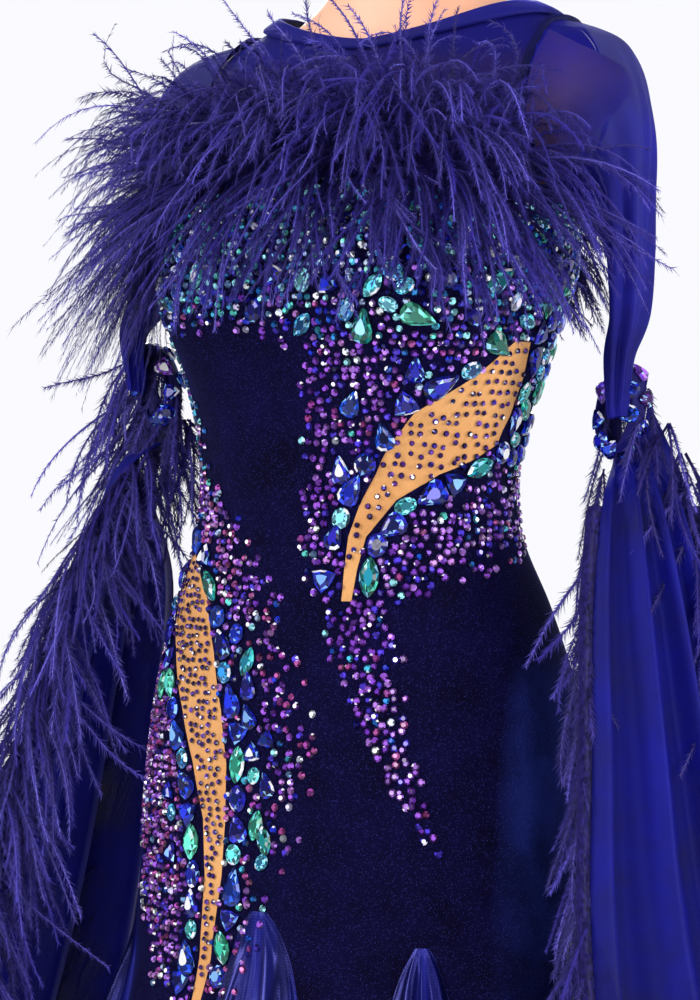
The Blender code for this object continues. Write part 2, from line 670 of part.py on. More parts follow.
def strand(bm, face, path, width):
    """Draws one feather lock out of a face: a three-sided taper along a path."""
    root = list(face.verts)
    bm.faces.remove(face)
    centre = sum((v.co for v in root), Vector()) / len(root)
    corners = [v.co - centre for v in root]
    rings = []
    steps = len(path) - 1
    heading = (path[1] - path[0]).normalized()
    side_axis = corners[1] - corners[0]
    side_axis = (side_axis - heading * side_axis.dot(heading)).normalized()
    for k, point in enumerate(path[1:-1], 1):
        ahead = (path[k + 1] - path[k - 1]).normalized()
        across = (side_axis - ahead * side_axis.dot(ahead)).normalized()
        up = ahead.cross(across)
        size = width * (1.0 - 0.55 * k / steps)
        ring = []
        for corner in corners:
            flat = Vector((corner.dot(side_axis), corner.dot(heading.cross(side_axis)), 0))
            flat = flat.normalized() * size * 0.5 if flat.length > 1e-9 else flat
            ring.append(bm.verts.new(point + across * flat.x + up * flat.y))
        rings.append(ring)
    tip = bm.verts.new(path[-1])
    previous = root
    for ring in rings:
        for k in range(len(root)):
            m = (k + 1) % len(root)
            bm.faces.new([previous[k], previous[m], ring[m], ring[k]])
        previous = ring
    for k in range(len(root)):
        bm.faces.new([previous[k], previous[(k + 1) % len(root)], tip])


def feather_strip(name, points, thick, route, width):
    """A narrow strip with one lock fused to each of its cells: route gives a lock's path."""
    rows, columns = len(points), len(points[0])
    normals = grid_normals(points)
    bm = bmesh.new()
    outer = [[bm.verts.new(points[i][j]) for j in range(columns)] for i in range(rows)]
    inner = [[bm.verts.new(points[i][j] - thick * normals[i][j]) for j in range(columns)]
             for i in range(rows)]
    cells = []
    for i in range(rows - 1):
        for j in range(columns - 1):
            quad = [outer[i][j], outer[i + 1][j], outer[i + 1][j + 1], outer[i][j + 1]]
            centre = sum((v.co for v in quad), Vector()) / 4
            normal = normals[i][j]
            across = (quad[3].co - quad[0].co).normalized()
            up = normal.cross(across).normalized()
            cell = min((quad[3].co - quad[0].co).length, (quad[1].co - quad[0].co).length)
            reach = min(width, cell * 0.72) * 0.5
            root = []
            for turn in (0.5, 0.5 + 2 / 3, 0.5 + 4 / 3):
                spot = across * math.cos(turn * math.pi) + up * math.sin(turn * math.pi)
                root.append(bm.verts.new(centre + spot * reach))
            ring = [[root[0], quad[3], quad[0]], [root[0], quad[0], root[1]], [root[1], quad[0], quad[1]],
                    [root[1], quad[1], quad[2]], [root[1], quad[2], root[2]], [root[2], quad[2], quad[3]],
                    [root[2], quad[3], root[0]]]
            cells.append((root, centre, normal, across, up, i, j))
            for part in ring:
                bm.faces.new(part)
            bm.faces.new([inner[i][j], inner[i][j + 1], inner[i + 1][j + 1], inner[i + 1][j]])
    border = [(0, j) for j in range(columns)] + [(i, columns - 1) for i in range(1, rows)]
    border += [(rows - 1, j) for j in range(columns - 2, -1, -1)] + [(i, 0) for i in range(rows - 2, 0, -1)]
    for a, b in zip(border, border[1:] + border[:1]):
        bm.faces.new([outer[b[0]][b[1]], outer[a[0]][a[1]], inner[a[0]][a[1]], inner[b[0]][b[1]]])
    for root, centre, normal, across, up, i, j in cells:
        face = bm.faces.new(root)
        strand(bm, face, route(centre, normal, across, i, j), width)
    return add_object(name, bm, "feather")


def arc_path(start, heading, length, droop, steps=3):
    """A lock's path: it leaves along heading and bends down under its weight."""
    heading = heading.normalized()
    return [start + heading * length * s - Vector((0, 0, droop * s * s))
            for s in (k / steps for k in range(steps + 1))]


TAPE = 0.0016              # wall of the strips that carry the feathers
TAPE_WIDTH = 0.011
TAPE_FRONT_GAP = 0.0005    # from a float's edge to its tape
TAPE_BACK_GAP = 0.0015
COLLAR_TAPE = 0.0018
COLLAR_OUT = 0.0024        # how far the collar's strip lies outside the bodice
COLLAR_ANGLE = 60.0
COLLAR_BACK_ANGLE = 50.0
COLLAR_COLUMNS = 20
COLLAR_BACK_COLUMNS = 12
# Collar locks; columns: climb, length, droop
COLLAR_ROWS = ((1.15, 0.112, 0.018), (0.25, 0.128, 0.070), (-0.55, 0.118, 0.095))


def build_collar(name, middle, reach, columns):
    rng = random.Random(7 if middle == 0 else 11)
    height = 0.010
    points = []
    for i in range(len(COLLAR_ROWS) + 1):
        points.append([on_body(middle + away, top_line(middle + away) - 0.001 - height * i, COLLAR_OUT)
                       for away in spread(-reach, reach, columns)])

    def route(centre, normal, across, i, j):
        climb, length, droop = COLLAR_ROWS[i]
        share = 2 * (j + 0.5) / columns - 1
        lean = 0.55 * share * abs(share) + rng.uniform(-0.10, 0.10)
        stretch = 1 + rng.uniform(-0.12, 0.12)
        heading = Vector((normal.x, normal.y, 0)).normalized() + across * lean + Vector((0, 0, climb))
        return arc_path(centre, heading, length * stretch, droop)

    feather_strip(name, points, COLLAR_TAPE, route, STRAND_WIDTH)


def edge_levels(rows, band, side, at_front):
    """A float's edge at its rows and half way between: point, way off the edge, way out of the cloth."""
    levels = []
    for line_points in float_rows(rows, band, side)[2:]:
        along = line_points[-1] - line_points[0]
        along = Vector((along.x, along.y, 0)).normalized()
        edge, away = (line_points[0], -along) if at_front else (line_points[-1], along)
        level = (edge, away, Vector((along.y, -along.x, 0)) * side)
        if levels:
            levels.append([(a + b) / 2 for a, b in zip(levels[-1], level)])
        levels.append(level)
    return levels


def build_plumes(name, rows, band, side, at_front):
    """Plumes down one edge of a float, on a narrow tape beside the cloth."""
    rng = random.Random(21 + 5 * at_front + (2 if side > 0 else 0))
    levels = edge_levels(rows, band, side, at_front)
    gap = TAPE_FRONT_GAP if at_front else TAPE_BACK_GAP
    points = []
    for edge, away, _ in levels:
        row = [edge + away * gap, edge + away * (gap + TAPE_WIDTH)]
        points.append(row[::-1] if (side > 0) == at_front else row)

    def route(centre, normal, across, i, j):
        _, away, out = levels[i]
        swing = rng.uniform(0.55, 0.85)
        heading = away * swing + out * (1.25 - swing) + Vector((0, 0, -rng.uniform(0.35, 0.5)))
        return arc_path(centre, heading, rng.uniform(0.075, 0.105), rng.uniform(0.035, 0.055))

    feather_strip(name, points, TAPE, route, STRAND_WIDTH)


def build_form():
    """Smooth limbless torso with a flat bottom and a flat neck cap."""
    heights = [FORM_BOTTOM_Z] + list(reversed(UPPER_ROWS[1:]))
    heights += [1.368, 1.388, 1.408, 1.426, 1.442, 1.454, 1.466, 1.480, 1.495, 1.515, FORM_TOP_Z]
    count = 22
    bm = bmesh.new()
    rings = []
    for z in heights:
        inset = CLOTH + EASE + 0.0025 * float(np.interp(z, (1.30, 1.34, 1.43, 1.46), (0, 1.3, 1.2, 1.8)))
        rings.append([bm.verts.new(on_body(360 * k / count, z, -inset)) for k in range(count)])
    for ring, z in ((rings[0], heights[0]), (rings[-1], heights[-1])):
        for vert in ring:
            vert.co.z = z
    for low, high in zip(rings, rings[1:]):
        for k in range(count):
            m = (k + 1) % count
            bm.faces.new([low[k], low[m], high[m]])
            bm.faces.new([low[k], high[m], high[k]])
    bm.faces.new(rings[0])
    bm.faces.new(rings[-1][::-1])
    add_object("form_torso", bm, "form")


def build_stand():
    bm = bmesh.new()
    bmesh.ops.create_cone(bm, cap_ends=True, segments=16, radius1=POLE_RADIUS, radius2=POLE_RADIUS,
                          depth=FORM_BOTTOM_Z - BASE_HEIGHT - 2 * SEAM)
    pole = add_object("form_pole", bm, "stand")
    pole.location.z = (FORM_BOTTOM_Z + BASE_HEIGHT) / 2
    bm = bmesh.new()
    bmesh.ops.create_cone(bm, cap_ends=True, segments=32, radius1=BASE_RADIUS, radius2=BASE_RADIUS - 0.006,
                          depth=BASE_HEIGHT)
    base = add_object("form_base", bm, "stand")
    base.location.z = BASE_HEIGHT / 2


clear_scene()
build_form()
build_stand()
build_front()
build_back()
build_zip()
build_insert("insert_hip", HIP_OUTER, HIP_INNER, HIP_TOP_Z, HIP_TIP_Z, 3)
build_insert("insert_waist", WAIST_UPPER, WAIST_LOWER, WAIST_TOP_Z, WAIST_TIP_Z, 3)
for number in range(len(GODETS)):
    build_godet(number)
build_yoke("yoke_front", True)
build_yoke("yoke_back", False)
build_neck_binding()
build_sleeve("sleeve_left", SLEEVE_LEFT, 1)
build_sleeve("sleeve_right", SLEEVE_RIGHT, -1)
build_band("band_left", BAND_LEFT)
build_band("band_right", BAND_RIGHT)
build_float("float_left", FLOAT_LEFT, BAND_LEFT, 1)
build_float("float_right", FLOAT_RIGHT, BAND_RIGHT, -1)
build_collar("collar_front", 0, COLLAR_ANGLE, COLLAR_COLUMNS)
build_collar("collar_back", 180, COLLAR_BACK_ANGLE, COLLAR_BACK_COLUMNS)
for word, table, ring, hand in (("left", FLOAT_LEFT, BAND_LEFT, 1), ("right", FLOAT_RIGHT, BAND_RIGHT, -1)):
    build_plumes("plumes_%s_front" % word, table, ring, hand, True)
    build_plumes("plumes_%s_back" % word, table, ring, hand, False)
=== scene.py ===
import json
import math

import bpy
import numpy as np
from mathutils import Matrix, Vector

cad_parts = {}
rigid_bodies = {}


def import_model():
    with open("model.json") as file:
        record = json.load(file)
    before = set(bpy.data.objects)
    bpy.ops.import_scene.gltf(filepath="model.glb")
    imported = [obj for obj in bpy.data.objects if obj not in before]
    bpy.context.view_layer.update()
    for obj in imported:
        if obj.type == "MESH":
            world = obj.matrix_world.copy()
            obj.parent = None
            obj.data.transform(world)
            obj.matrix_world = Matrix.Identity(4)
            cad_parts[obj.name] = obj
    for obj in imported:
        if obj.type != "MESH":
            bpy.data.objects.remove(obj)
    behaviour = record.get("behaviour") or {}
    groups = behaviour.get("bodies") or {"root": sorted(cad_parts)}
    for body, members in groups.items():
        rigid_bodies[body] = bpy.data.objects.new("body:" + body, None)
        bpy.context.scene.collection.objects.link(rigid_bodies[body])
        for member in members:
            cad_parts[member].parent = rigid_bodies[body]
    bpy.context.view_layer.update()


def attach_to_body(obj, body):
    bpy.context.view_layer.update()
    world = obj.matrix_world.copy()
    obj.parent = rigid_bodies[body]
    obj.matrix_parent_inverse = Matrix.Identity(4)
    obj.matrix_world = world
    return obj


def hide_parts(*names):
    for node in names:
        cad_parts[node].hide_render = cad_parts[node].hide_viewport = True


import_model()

pi = math.pi


def linear(red, green, blue):
    return tuple(((c / 255 + 0.055) / 1.055) ** 2.4 if c > 10 else c / 255 / 12.92 for c in (red, green, blue))


# shader wires and materials

class Wire:
    def __init__(self, tree, socket):
        self.tree, self.socket = tree, socket

    def calc(self, kind, *others, clamp=False):
        item = self.tree.nodes.new("ShaderNodeMath")
        item.operation, item.use_clamp = kind, clamp
        for slot, value in zip(item.inputs, (self,) + others):
            attach(self.tree, slot, value)
        return Wire(self.tree, item.outputs[0])

    def fixed(self, value):
        item = self.tree.nodes.new("ShaderNodeValue")
        item.outputs[0].default_value = value
        return Wire(self.tree, item.outputs[0])

    def __add__(self, other):
        return self.calc("ADD", other)

    __radd__ = __add__

    def __mul__(self, other):
        return self.calc("MULTIPLY", other)

    __rmul__ = __mul__

    def __sub__(self, other):
        return self.calc("SUBTRACT", other)

    def __rsub__(self, other):
        return self.fixed(other).calc("SUBTRACT", self)

    def __truediv__(self, other):
        return self.calc("DIVIDE", other)

    def above(self, low, high):
        return ((self - low) / (high - low)).calc("MULTIPLY", 1.0, clamp=True)

    def wave(self, scale):
        return (self * (2 * pi * scale)).calc("SINE") * 0.5 + 0.5


def attach(tree, slot, value):
    if isinstance(value, Wire):
        tree.links.new(value.socket, slot)
    elif isinstance(value, (tuple, list)) and len(value) == 3 and slot.type == "RGBA":
        slot.default_value = (*value, 1.0)
    else:
        slot.default_value = value


class Finish:
    def __init__(self, name, **fixed):
        self.material = bpy.data.materials.new(name)
        self.material.use_nodes = True
        self.tree = self.material.node_tree
        self.shader = self.tree.nodes["Principled BSDF"]
        self.set(**fixed)

    def set(self, **values):
        for key, value in values.items():
            attach(self.tree, self.shader.inputs[key.replace("_", " ").replace("  ", "_")], value)

    def node(self, kind, settings=None, values=None, output=0):
        item = self.tree.nodes.new("ShaderNode" + kind)
        for key, value in (settings or {}).items():
            setattr(item, key, value)
        for key, value in (values or {}).items():
            attach(self.tree, item.inputs[key], value)
        return Wire(self.tree, item.outputs[output])

    def spot(self):
        return self.node("TexCoord", output="Object")

    def flat(self):
        return self.node("TexCoord", output="UV")

    def split(self, wire):
        item = self.tree.nodes.new("ShaderNodeSeparateXYZ")
        self.tree.links.new(wire.socket, item.inputs[0])
        return [Wire(self.tree, out) for out in item.outputs]

    def noise(self, scale, detail=3.0, rough=0.5, at=None):
        return self.node("TexNoise", None, {"Vector": at or self.spot(), "Scale": scale, "Detail": detail,
                                            "Roughness": rough}, "Fac")

    def cells(self, scale, output="Distance", at=None):
        return self.node("TexVoronoi", None, {"Vector": at or self.spot(), "Scale": scale}, output)

    def mix(self, paintedFacetLight, first, second):
        item = self.tree.nodes.new("ShaderNodeMix")
        item.data_type = "RGBA"
        for slot, value in ((item.inputs[0], paintedFacetLight), (item.inputs[6], first), (item.inputs[7], second)):
            attach(self.tree, slot, value)
        return Wire(self.tree, item.outputs[2])

    def tint(self, name="tint"):
        return self.node("Attribute", {"attribute_name": name}, None, "Color")

    def bump(self, height, depth, strength=1.0):
        self.set(Normal=self.node("Bump", None, {"Height": height, "Distance": depth, "Strength": strength}))


# meshes from arrays

def unit(vector):
    return vector / np.linalg.norm(vector, axis=-1, keepdims=True)


def makePiece(name, points, faces, finish, slotName, nodes=(), smooth=True, flat=None, tint=None):
    mesh = bpy.data.meshes.new(name)
    faces = faces.tolist() if isinstance(faces, np.ndarray) else faces
    mesh.from_pydata(np.asarray(points, float).reshape(-1, 3).tolist(), [], [tuple(f) for f in faces])
    mesh.polygons.foreach_set("use_smooth", [smooth] * len(mesh.polygons))
    if flat is not None:
        corners = np.zeros(len(mesh.loops), dtype=np.int32)
        mesh.loops.foreach_get("vertex_index", corners)
        layer = mesh.uv_layers.new(name="cut")
        layer.data.foreach_set("uv", np.asarray(flat, float).reshape(-1, 2)[corners].ravel())
    if tint is not None:
        colors = np.asarray(tint, float)
        onFaces = len(colors) == len(faces)
        layer = mesh.color_attributes.new("tint", "FLOAT_COLOR", "CORNER" if onFaces else "POINT")
        if onFaces:
            counts = np.array([len(f) for f in faces])
            colors = np.repeat(colors, counts, axis=0)
        full = np.ones((len(colors), 4))
        full[:, :3] = colors
        layer.data.foreach_set("color", full.ravel())
    mesh.materials.append(finish.material)
    piece = bpy.data.objects.new(name, mesh)
    bpy.context.scene.collection.objects.link(piece)
    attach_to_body(piece, "root")
    if nodes:
        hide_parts(*nodes)
    return piece


def gridFaces(rows, columns, closed=False, keep=None):
    span = columns if closed else columns - 1
    i, j = np.meshgrid(np.arange(rows - 1), np.arange(span), indexing="ij")
    k = (j + 1) % columns
    quads = np.stack([i * columns + j, (i + 1) * columns + j, (i + 1) * columns + k, i * columns + k], -1)
    return quads.reshape(-1, 4) if keep is None else quads[keep]


def sew(parts):
    points, faces, base = [], [], 0
    for partPoints, partFaces in parts:
        points.append(np.asarray(partPoints, float).reshape(-1, 3))
        faces += [[int(v) + base for v in f] for f in partFaces]
        base += len(points[-1])
    return np.concatenate(points), faces


def cappedFaces(rows, sides):
    return gridFaces(rows, sides, True).tolist() + [
        list(range(sides)), [(rows - 1) * sides + k for k in range(sides)][::-1]]


def tube(path, radius, closed=False, sides=6):
    ahead = unit(np.roll(path, -1, 0) - np.roll(path, 1, 0) if closed else np.gradient(path, axis=0))
    guide = np.array([0.0, 0.0, 1.0]) if abs(ahead[:, 2]).mean() < 0.8 else np.array([0.0, 1.0, 0.0])
    side = unit(np.cross(ahead, guide))
    up = np.cross(side, ahead)
    turns = np.arange(sides) * 2 * pi / sides
    ring = side[:, None] * np.cos(turns)[None, :, None] + up[:, None] * np.sin(turns)[None, :, None]
    points = path[:, None] + ring * radius
    if closed:
        return np.concatenate([points, points[:1]]), gridFaces(len(path) + 1, sides, True)
    return points, cappedFaces(len(path), sides)


def lathe(profile, sides):
    turns = np.arange(sides) * 2 * pi / sides
    rows = [[(r * math.cos(t), r * math.sin(t), z) for t in turns] for r, z in profile]
    return np.array(rows), cappedFaces(len(profile), sides)


def smoothRows(rows, count, share=None):
    rows = np.asarray(rows, float)
    last = len(rows) - 1
    t = np.linspace(0, last, count) if share is None else np.asarray(share) * last
    k = np.clip(t.astype(int), 0, last - 1)
    f = (t - k).reshape((-1,) + (1,) * (rows.ndim - 1))
    a, b, c, d = rows[np.maximum(k - 1, 0)], rows[k], rows[k + 1], rows[np.minimum(k + 2, last)]
    a = np.where((k == 0).reshape(f.shape), 2 * b - c, a)
    d = np.where((k == last - 1).reshape(f.shape), 2 * c - b, d)
    return b + 0.5 * f * (c - a + f * (2 * a - 5 * b + 4 * c - d + f * (3 * (b - c) + d - a)))


def tubeNormals(points):
    return unit(np.cross(np.gradient(points, axis=0), np.roll(points, -1, 1) - np.roll(points, 1, 1)))


def cutGrid(long, rows, wide, columns):
    # where each point of a grid lies on its cut, in metres
    down, over = np.linspace(0, long, rows), np.linspace(0, wide, columns)
    return np.stack(np.meshgrid(down, over, indexing="ij")[::-1], -1)


def makeSheet(spec, points, finish, slotName, cut, closed=False, faces=None):
    if faces is None:
        faces = gridFaces(*points.shape[:2], closed)
    piece = makePiece(spec["name"], points, faces, finish, slotName, spec.get("nodes", ()), flat=cut)
    told = {key: spec[key] for key in ("flat", "held", "rests_on", "area") if key in spec}
    print(spec["name"], "area", round(sum(p.area for p in piece.data.polygons), 4))


# the gown's surface, from the same sections and seam lines as the solids

# z, half width, front depth, back depth, mid x, mid y
sections = np.array([
    (0.00, 0.190, 0.155, 0.155, 0.000, 0.010), (0.70, 0.183, 0.145, 0.148, 0.000, 0.010),
    (0.80, 0.178, 0.136, 0.141, 0.000, 0.010), (0.90, 0.172, 0.126, 0.134, 0.000, 0.010),
    (0.97, 0.164, 0.116, 0.126, 0.000, 0.008), (1.04, 0.145, 0.104, 0.108, 0.000, 0.004),
    (1.09, 0.127, 0.095, 0.094, 0.000, 0.000), (1.13, 0.121, 0.092, 0.089, 0.000, 0.000),
    (1.17, 0.125, 0.096, 0.092, 0.002, 0.000), (1.22, 0.138, 0.104, 0.100, 0.006, 0.000),
    (1.27, 0.150, 0.112, 0.108, 0.010, 0.002), (1.31, 0.153, 0.112, 0.112, 0.014, 0.004),
    (1.345, 0.150, 0.104, 0.110, 0.018, 0.009), (1.376, 0.153, 0.096, 0.104, 0.022, 0.015),
    (1.395, 0.176, 0.090, 0.098, 0.024, 0.018), (1.415, 0.190, 0.082, 0.090, 0.026, 0.021),
    (1.435, 0.184, 0.073, 0.080, 0.027, 0.024), (1.45, 0.162, 0.066, 0.073, 0.028, 0.026),
    (1.462, 0.137, 0.062, 0.068, 0.029, 0.028), (1.475, 0.110, 0.061, 0.064, 0.030, 0.029),
    (1.49, 0.085, 0.060, 0.061, 0.030, 0.030), (1.51, 0.067, 0.058, 0.059, 0.031, 0.030),
    (1.55, 0.056, 0.055, 0.057, 0.031, 0.028), (1.60, 0.056, 0.055, 0.057, 0.031, 0.028)])
squareness = 2.2
bustZ, bustOut, bustAngle, bustSpread = 1.268, 0.024, 35.0, 24.0
formBottom, formTop, hemZ = 0.84, 1.55, 0.012
hemFlare, flareTop, foldMost = 0.27, 0.80, 0.042
godetShare, godetTop = 31.0, 3.6
sideRight, sideLeft, centreBack = -94.0, 108.0, 180.0
# angle of the middle, height of the top
godets = ((-72.0, 0.850), (-3.0, 0.827), (36.0, 0.806), (84.0, 0.806),
          (130.0, 0.827), (163.0, 0.827), (198.0, 0.827), (238.0, 0.850))
runOn = (((1.000, -80.0), (0.900, -72.0)), ((1.100, -5.0), (1.050, -3.0)),
         ((1.160, 93.0), (1.148, 86.0), (1.138, 71.0), (1.120, 54.0), (1.094, 43.5), (1.048, 38.0),
          (0.968, 36.0)),
         ((1.048, 99.5), (0.900, 84.0)))
hipTop, hipTip, waistTop, waistTip = 1.094, 0.745, 1.233, 1.048
# height, angle
hipOuter = ((1.380, -62), (1.094, -67), (1.070, -66), (1.048, -64), (1.010, -47), (0.968, -35), (0.930, -27),
            (0.890, -21), (0.850, -19), (0.790, -19), (0.745, -20), (0.012, -44))
hipInner = ((1.380, -48), (1.150, -52), (1.094, -62), (1.070, -43), (1.048, -32), (1.010, -24), (0.968, -18),
            (0.930, -14.5), (0.890, -13.5), (0.850, -13.5), (0.790, -15.5), (0.745, -18), (0.012, -33))
waistUpper = ((1.380, 66), (1.260, 72), (1.233, 77), (1.207, 61), (1.181, 41), (1.160, 33), (1.148, 30),
              (1.138, 28), (1.120, 23), (1.094, 18), (1.070, 16), (1.048, 14.5), (1.010, 12.5),
              (0.806, 8), (0.64, 14))
waistLower = ((1.380, 82), (1.233, 86), (1.207, 88), (1.181, 87), (1.160, 83), (1.148, 69), (1.138, 53),
              (1.120, 36), (1.094, 24), (1.070, 20), (1.048, 17.5), (1.010, 21), (0.806, 22), (0.64, 18))


def curveValue(rows, z, column):
    heights, values = rows[:, 0], rows[:, column]
    last = len(rows) - 1
    low, high = np.maximum(np.arange(last + 1) - 1, 0), np.minimum(np.arange(last + 1) + 1, last)
    slopes = (values[high] - values[low]) / (heights[high] - heights[low])
    z = np.asarray(z, float)
    k = np.clip(np.searchsorted(heights, z, side="right") - 1, 0, last - 1)
    span = heights[k + 1] - heights[k]
    t = np.clip((z - heights[k]) / span, 0, 1)
    p, q, m, n = values[k], values[k + 1], slopes[k] * span, slopes[k + 1] * span
    return ((2 * t**3 - 3 * t**2 + 1) * p + (t**3 - 2 * t**2 + t) * m
            + (3 * t**2 - 2 * t**3) * q + (t**3 - t**2) * n)


def wrap(angle):
    return (angle + 180.0) % 360.0 - 180.0


def bodyPoint(angle, z, out=0.0):
    angle, z, out = np.broadcast_arrays(np.asarray(angle, float), np.asarray(z, float), np.asarray(out, float))
    half, front, back, midX, midY = (curveValue(sections, z, k) for k in range(1, 6))
    s, c = np.sin(np.radians(angle)), np.cos(np.radians(angle))
    depth = np.where(c > 0, front, back)
    x = half * np.sign(s) * np.abs(s) ** (2 / squareness)
    y = -depth * np.sign(c) * np.abs(c) ** (2 / squareness)
    lift = np.exp(-((z - bustZ) / np.where(z < bustZ, 0.054, 0.075)) ** 2)
    cup = sum(np.exp(-((wrap(angle) - side * bustAngle) / bustSpread) ** 2) for side in (-1, 1))
    flare = hemFlare * np.maximum((flareTop - z) / flareTop, 0.0) ** 1.3
    scale = 1.0 + (bustOut * cup * lift + flare + out) / np.hypot(x, y)
    return np.stack([midX + x * scale, midY + y * scale, z], -1)


def bodyNormal(angle, z):
    side = bodyPoint(angle + 1.0, z) - bodyPoint(angle - 1.0, z)
    rise = bodyPoint(angle, z + 0.004) - bodyPoint(angle, z - 0.004)
    return unit(np.cross(side, rise))


def perDegree(angle, z):
    # metres that one degree covers round the body
    return np.linalg.norm(bodyPoint(angle, z)[..., :2], axis=-1) * pi / 180


def topLine(angle):
    c = np.cos(np.radians(angle))
    return 1.342 + np.where(c > 0, 0.038, 0.012) * c * c


def seamLine(pairs, z):
    return np.interp(z, [p[0] for p in reversed(pairs)], [p[1] for p in reversed(pairs)])


def godetHalf(index, z):
    drop = np.maximum(godets[index][1] - z, 0.0)
    return godetTop / 2 + (godetShare - godetTop) / 2 * drop / (drop + 0.060) * 1.07


def godetEdge(index, side, z):
    middle = seamLine(runOn[index], z) if index < len(runOn) else godets[index][0]
    return middle + side * godetHalf(index, z)


def wave(angle, z):
    turned = np.asarray(angle, float) % 360.0
    result = np.full(np.broadcast(turned, z).shape, -1.0)
    for index, (middle, _) in enumerate(godets):
        away, half = wrap(turned - middle), godetHalf(index, z)
        result = np.where(np.abs(away) <= half, -np.cos(2 * pi * (away + half) / half), result)
    ring = sorted((m % 360.0, i) for i, (m, _) in enumerate(godets))
    ring = [(ring[-1][0] - 360.0, ring[-1][1])] + ring + [(ring[0][0] + 360.0, ring[0][1])]
    for (left, a), (right, b) in zip(ring, ring[1:]):
        start, end = left + godetHalf(a, z), right - godetHalf(b, z)
        share = np.clip((turned - start) / (end - start), 0, 1)
        swell = -1 + 1.3 * np.sin(pi * share) ** 2 * (end - start) / 40
        result = np.where((start <= turned) & (turned <= end), swell, result)
    return result


def skin(angle, z, out=0.0):
    z = np.asarray(z, float)
    fold = foldMost * np.maximum((flareTop - z) / flareTop, 0.0) ** 0.7 * wave(angle, z)
    height = np.where(z <= 1.300, z, 1.300 + (z - 1.300) * (topLine(angle) - 1.300) / 0.080)
    return bodyPoint(angle, height, fold + out)


def skinNormal(angle, z):
    across = skin(angle + 0.6, z) - skin(angle - 0.6, z)
    down = skin(angle, z - 0.003) - skin(angle, z + 0.003)
    return unit(np.cross(down, across))


def place(angle, z, out=0.0):
    return skin(angle, z) + np.asarray(out)[..., None] * skinNormal(angle, z)


# finishes

def makeVelvet():
    velvet = Finish("velvet", Roughness=0.9, Specular_IOR_Level=0.06, Sheen_Weight=0.42, Sheen_Roughness=0.28,
                    Sheen_Tint=linear(46, 58, 165))
    nap = velvet.noise(26, 4, 0.6)
    grain = velvet.split(velvet.cells(1150, "Color"))[0]
    spark = velvet.cells(1150).above(0.42, 0.20) * grain.above(0.60, 0.98)
    dark = velvet.mix(nap.above(0.35, 0.7), linear(2, 0, 24), linear(6, 3, 42))
    # a painted sheen down the left hip: the base colour and the glitter are made lighter there, standing in for
    # light grazing the pile
    x, _, z = velvet.split(velvet.spot())
    paintedSheen = x.above(0.146, 0.176) * z.above(0.74, 0.92) * (1.09 - z).above(0.0, 0.10)
    dark = velvet.mix(paintedSheen * nap.above(0.15, 0.55), dark, linear(30, 46, 124))
    velvet.set(Base_Color=velvet.mix(spark * (0.45 + paintedSheen * 0.4), dark, linear(64, 68, 160)))
    velvet.bump(velvet.noise(900, 2) + nap * 0.6, 0.0004, 0.5)
    return velvet


def makeSatin():
    satin = Finish("satin", Specular_IOR_Level=0.65, Specular_Tint=linear(128, 130, 255), Anisotropic=0.35,
                   Sheen_Weight=0.06, Sheen_Roughness=0.4, Sheen_Tint=linear(120, 120, 235))
    u, v, _ = satin.split(satin.flat())
    thread = u.wave(1500) * 0.5 + v.wave(500) * 0.5
    shade = satin.noise(14, 3, 0.55)
    streak = satin.noise(1.0, 2, 0.5, satin.node("CombineXYZ", None, {"X": u * 36.0, "Y": v * 2.0}))
    # painted fold shade and highlight: the base colour darkens in the troughs of the long streaks, which the
    # bump also follows, and a painted highlight runs along their crests
    deep = satin.mix(streak.above(0.36, 0.62), linear(2, 2, 36), linear(15, 18, 98))
    satin.set(Base_Color=satin.mix(streak.above(0.56, 0.72) * 0.26, deep, linear(84, 90, 196)),
              Roughness=0.21 + shade * 0.10 + thread * 0.05)
    satin.bump(thread * 0.10 + satin.noise(60, 3) * 1.2 + streak * 9.0, 0.0004, 0.6)
    return satin


def makeInsert():
    mesh = Finish("insert", Roughness=0.62, Specular_IOR_Level=0.25, Sheen_Weight=0.2,
                  Sheen_Tint=linear(255, 215, 160))
    u, v, _ = mesh.split(mesh.flat())
    rib = (u + v * 0.8).wave(620) * 0.65 + (u - v * 1.2).wave(620) * 0.35
    tone = mesh.noise(18, 3)
    base = mesh.mix(tone.above(0.3, 0.7), linear(204, 144, 84), linear(222, 164, 102))
    mesh.set(Base_Color=mesh.mix(rib.above(0.25, 0.8) * 0.6, base, linear(160, 104, 56)))
    mesh.bump(rib, 0.0003, 0.6)
    return mesh


def makeSheer(name, dark, light, cover, sheen, scale=900, shoulder=0.0, ramp=(1.438, 1.458)):
    sheer = Finish(name, Specular_IOR_Level=0.12, Sheen_Weight=sheen, Sheen_Roughness=0.4,
                   Sheen_Tint=linear(60, 60, 215))
    u, v, _ = sheer.split(sheer.flat())
    net = (u.wave(scale) * v.wave(scale)).above(0.05, 0.9)
    tone = sheer.noise(11, 4, 0.6)
    sheer.set(Base_Color=sheer.mix(tone.above(0.3, 0.72), dark, light), Roughness=0.6 + net * 0.15,
              Alpha=cover + (net * 0.10 + tone * 0.06) * (1.15 - cover) * 4 + v.above(*ramp) * shoulder)
    sheer.bump(net * 0.5 + sheer.noise(130, 3), 0.0005, 0.4)
    return sheer


def makeFeather():
    feather = Finish("feather", Roughness=0.55, Specular_IOR_Level=0.12, Sheen_Weight=0.08, Sheen_Roughness=0.3,
                     Sheen_Tint=linear(110, 100, 215))
    fleck = feather.noise(240, 2)
    feather.set(Base_Color=feather.mix(fleck.above(0.35, 0.75) * 0.22, feather.tint(), linear(70, 60, 165)))
    return feather


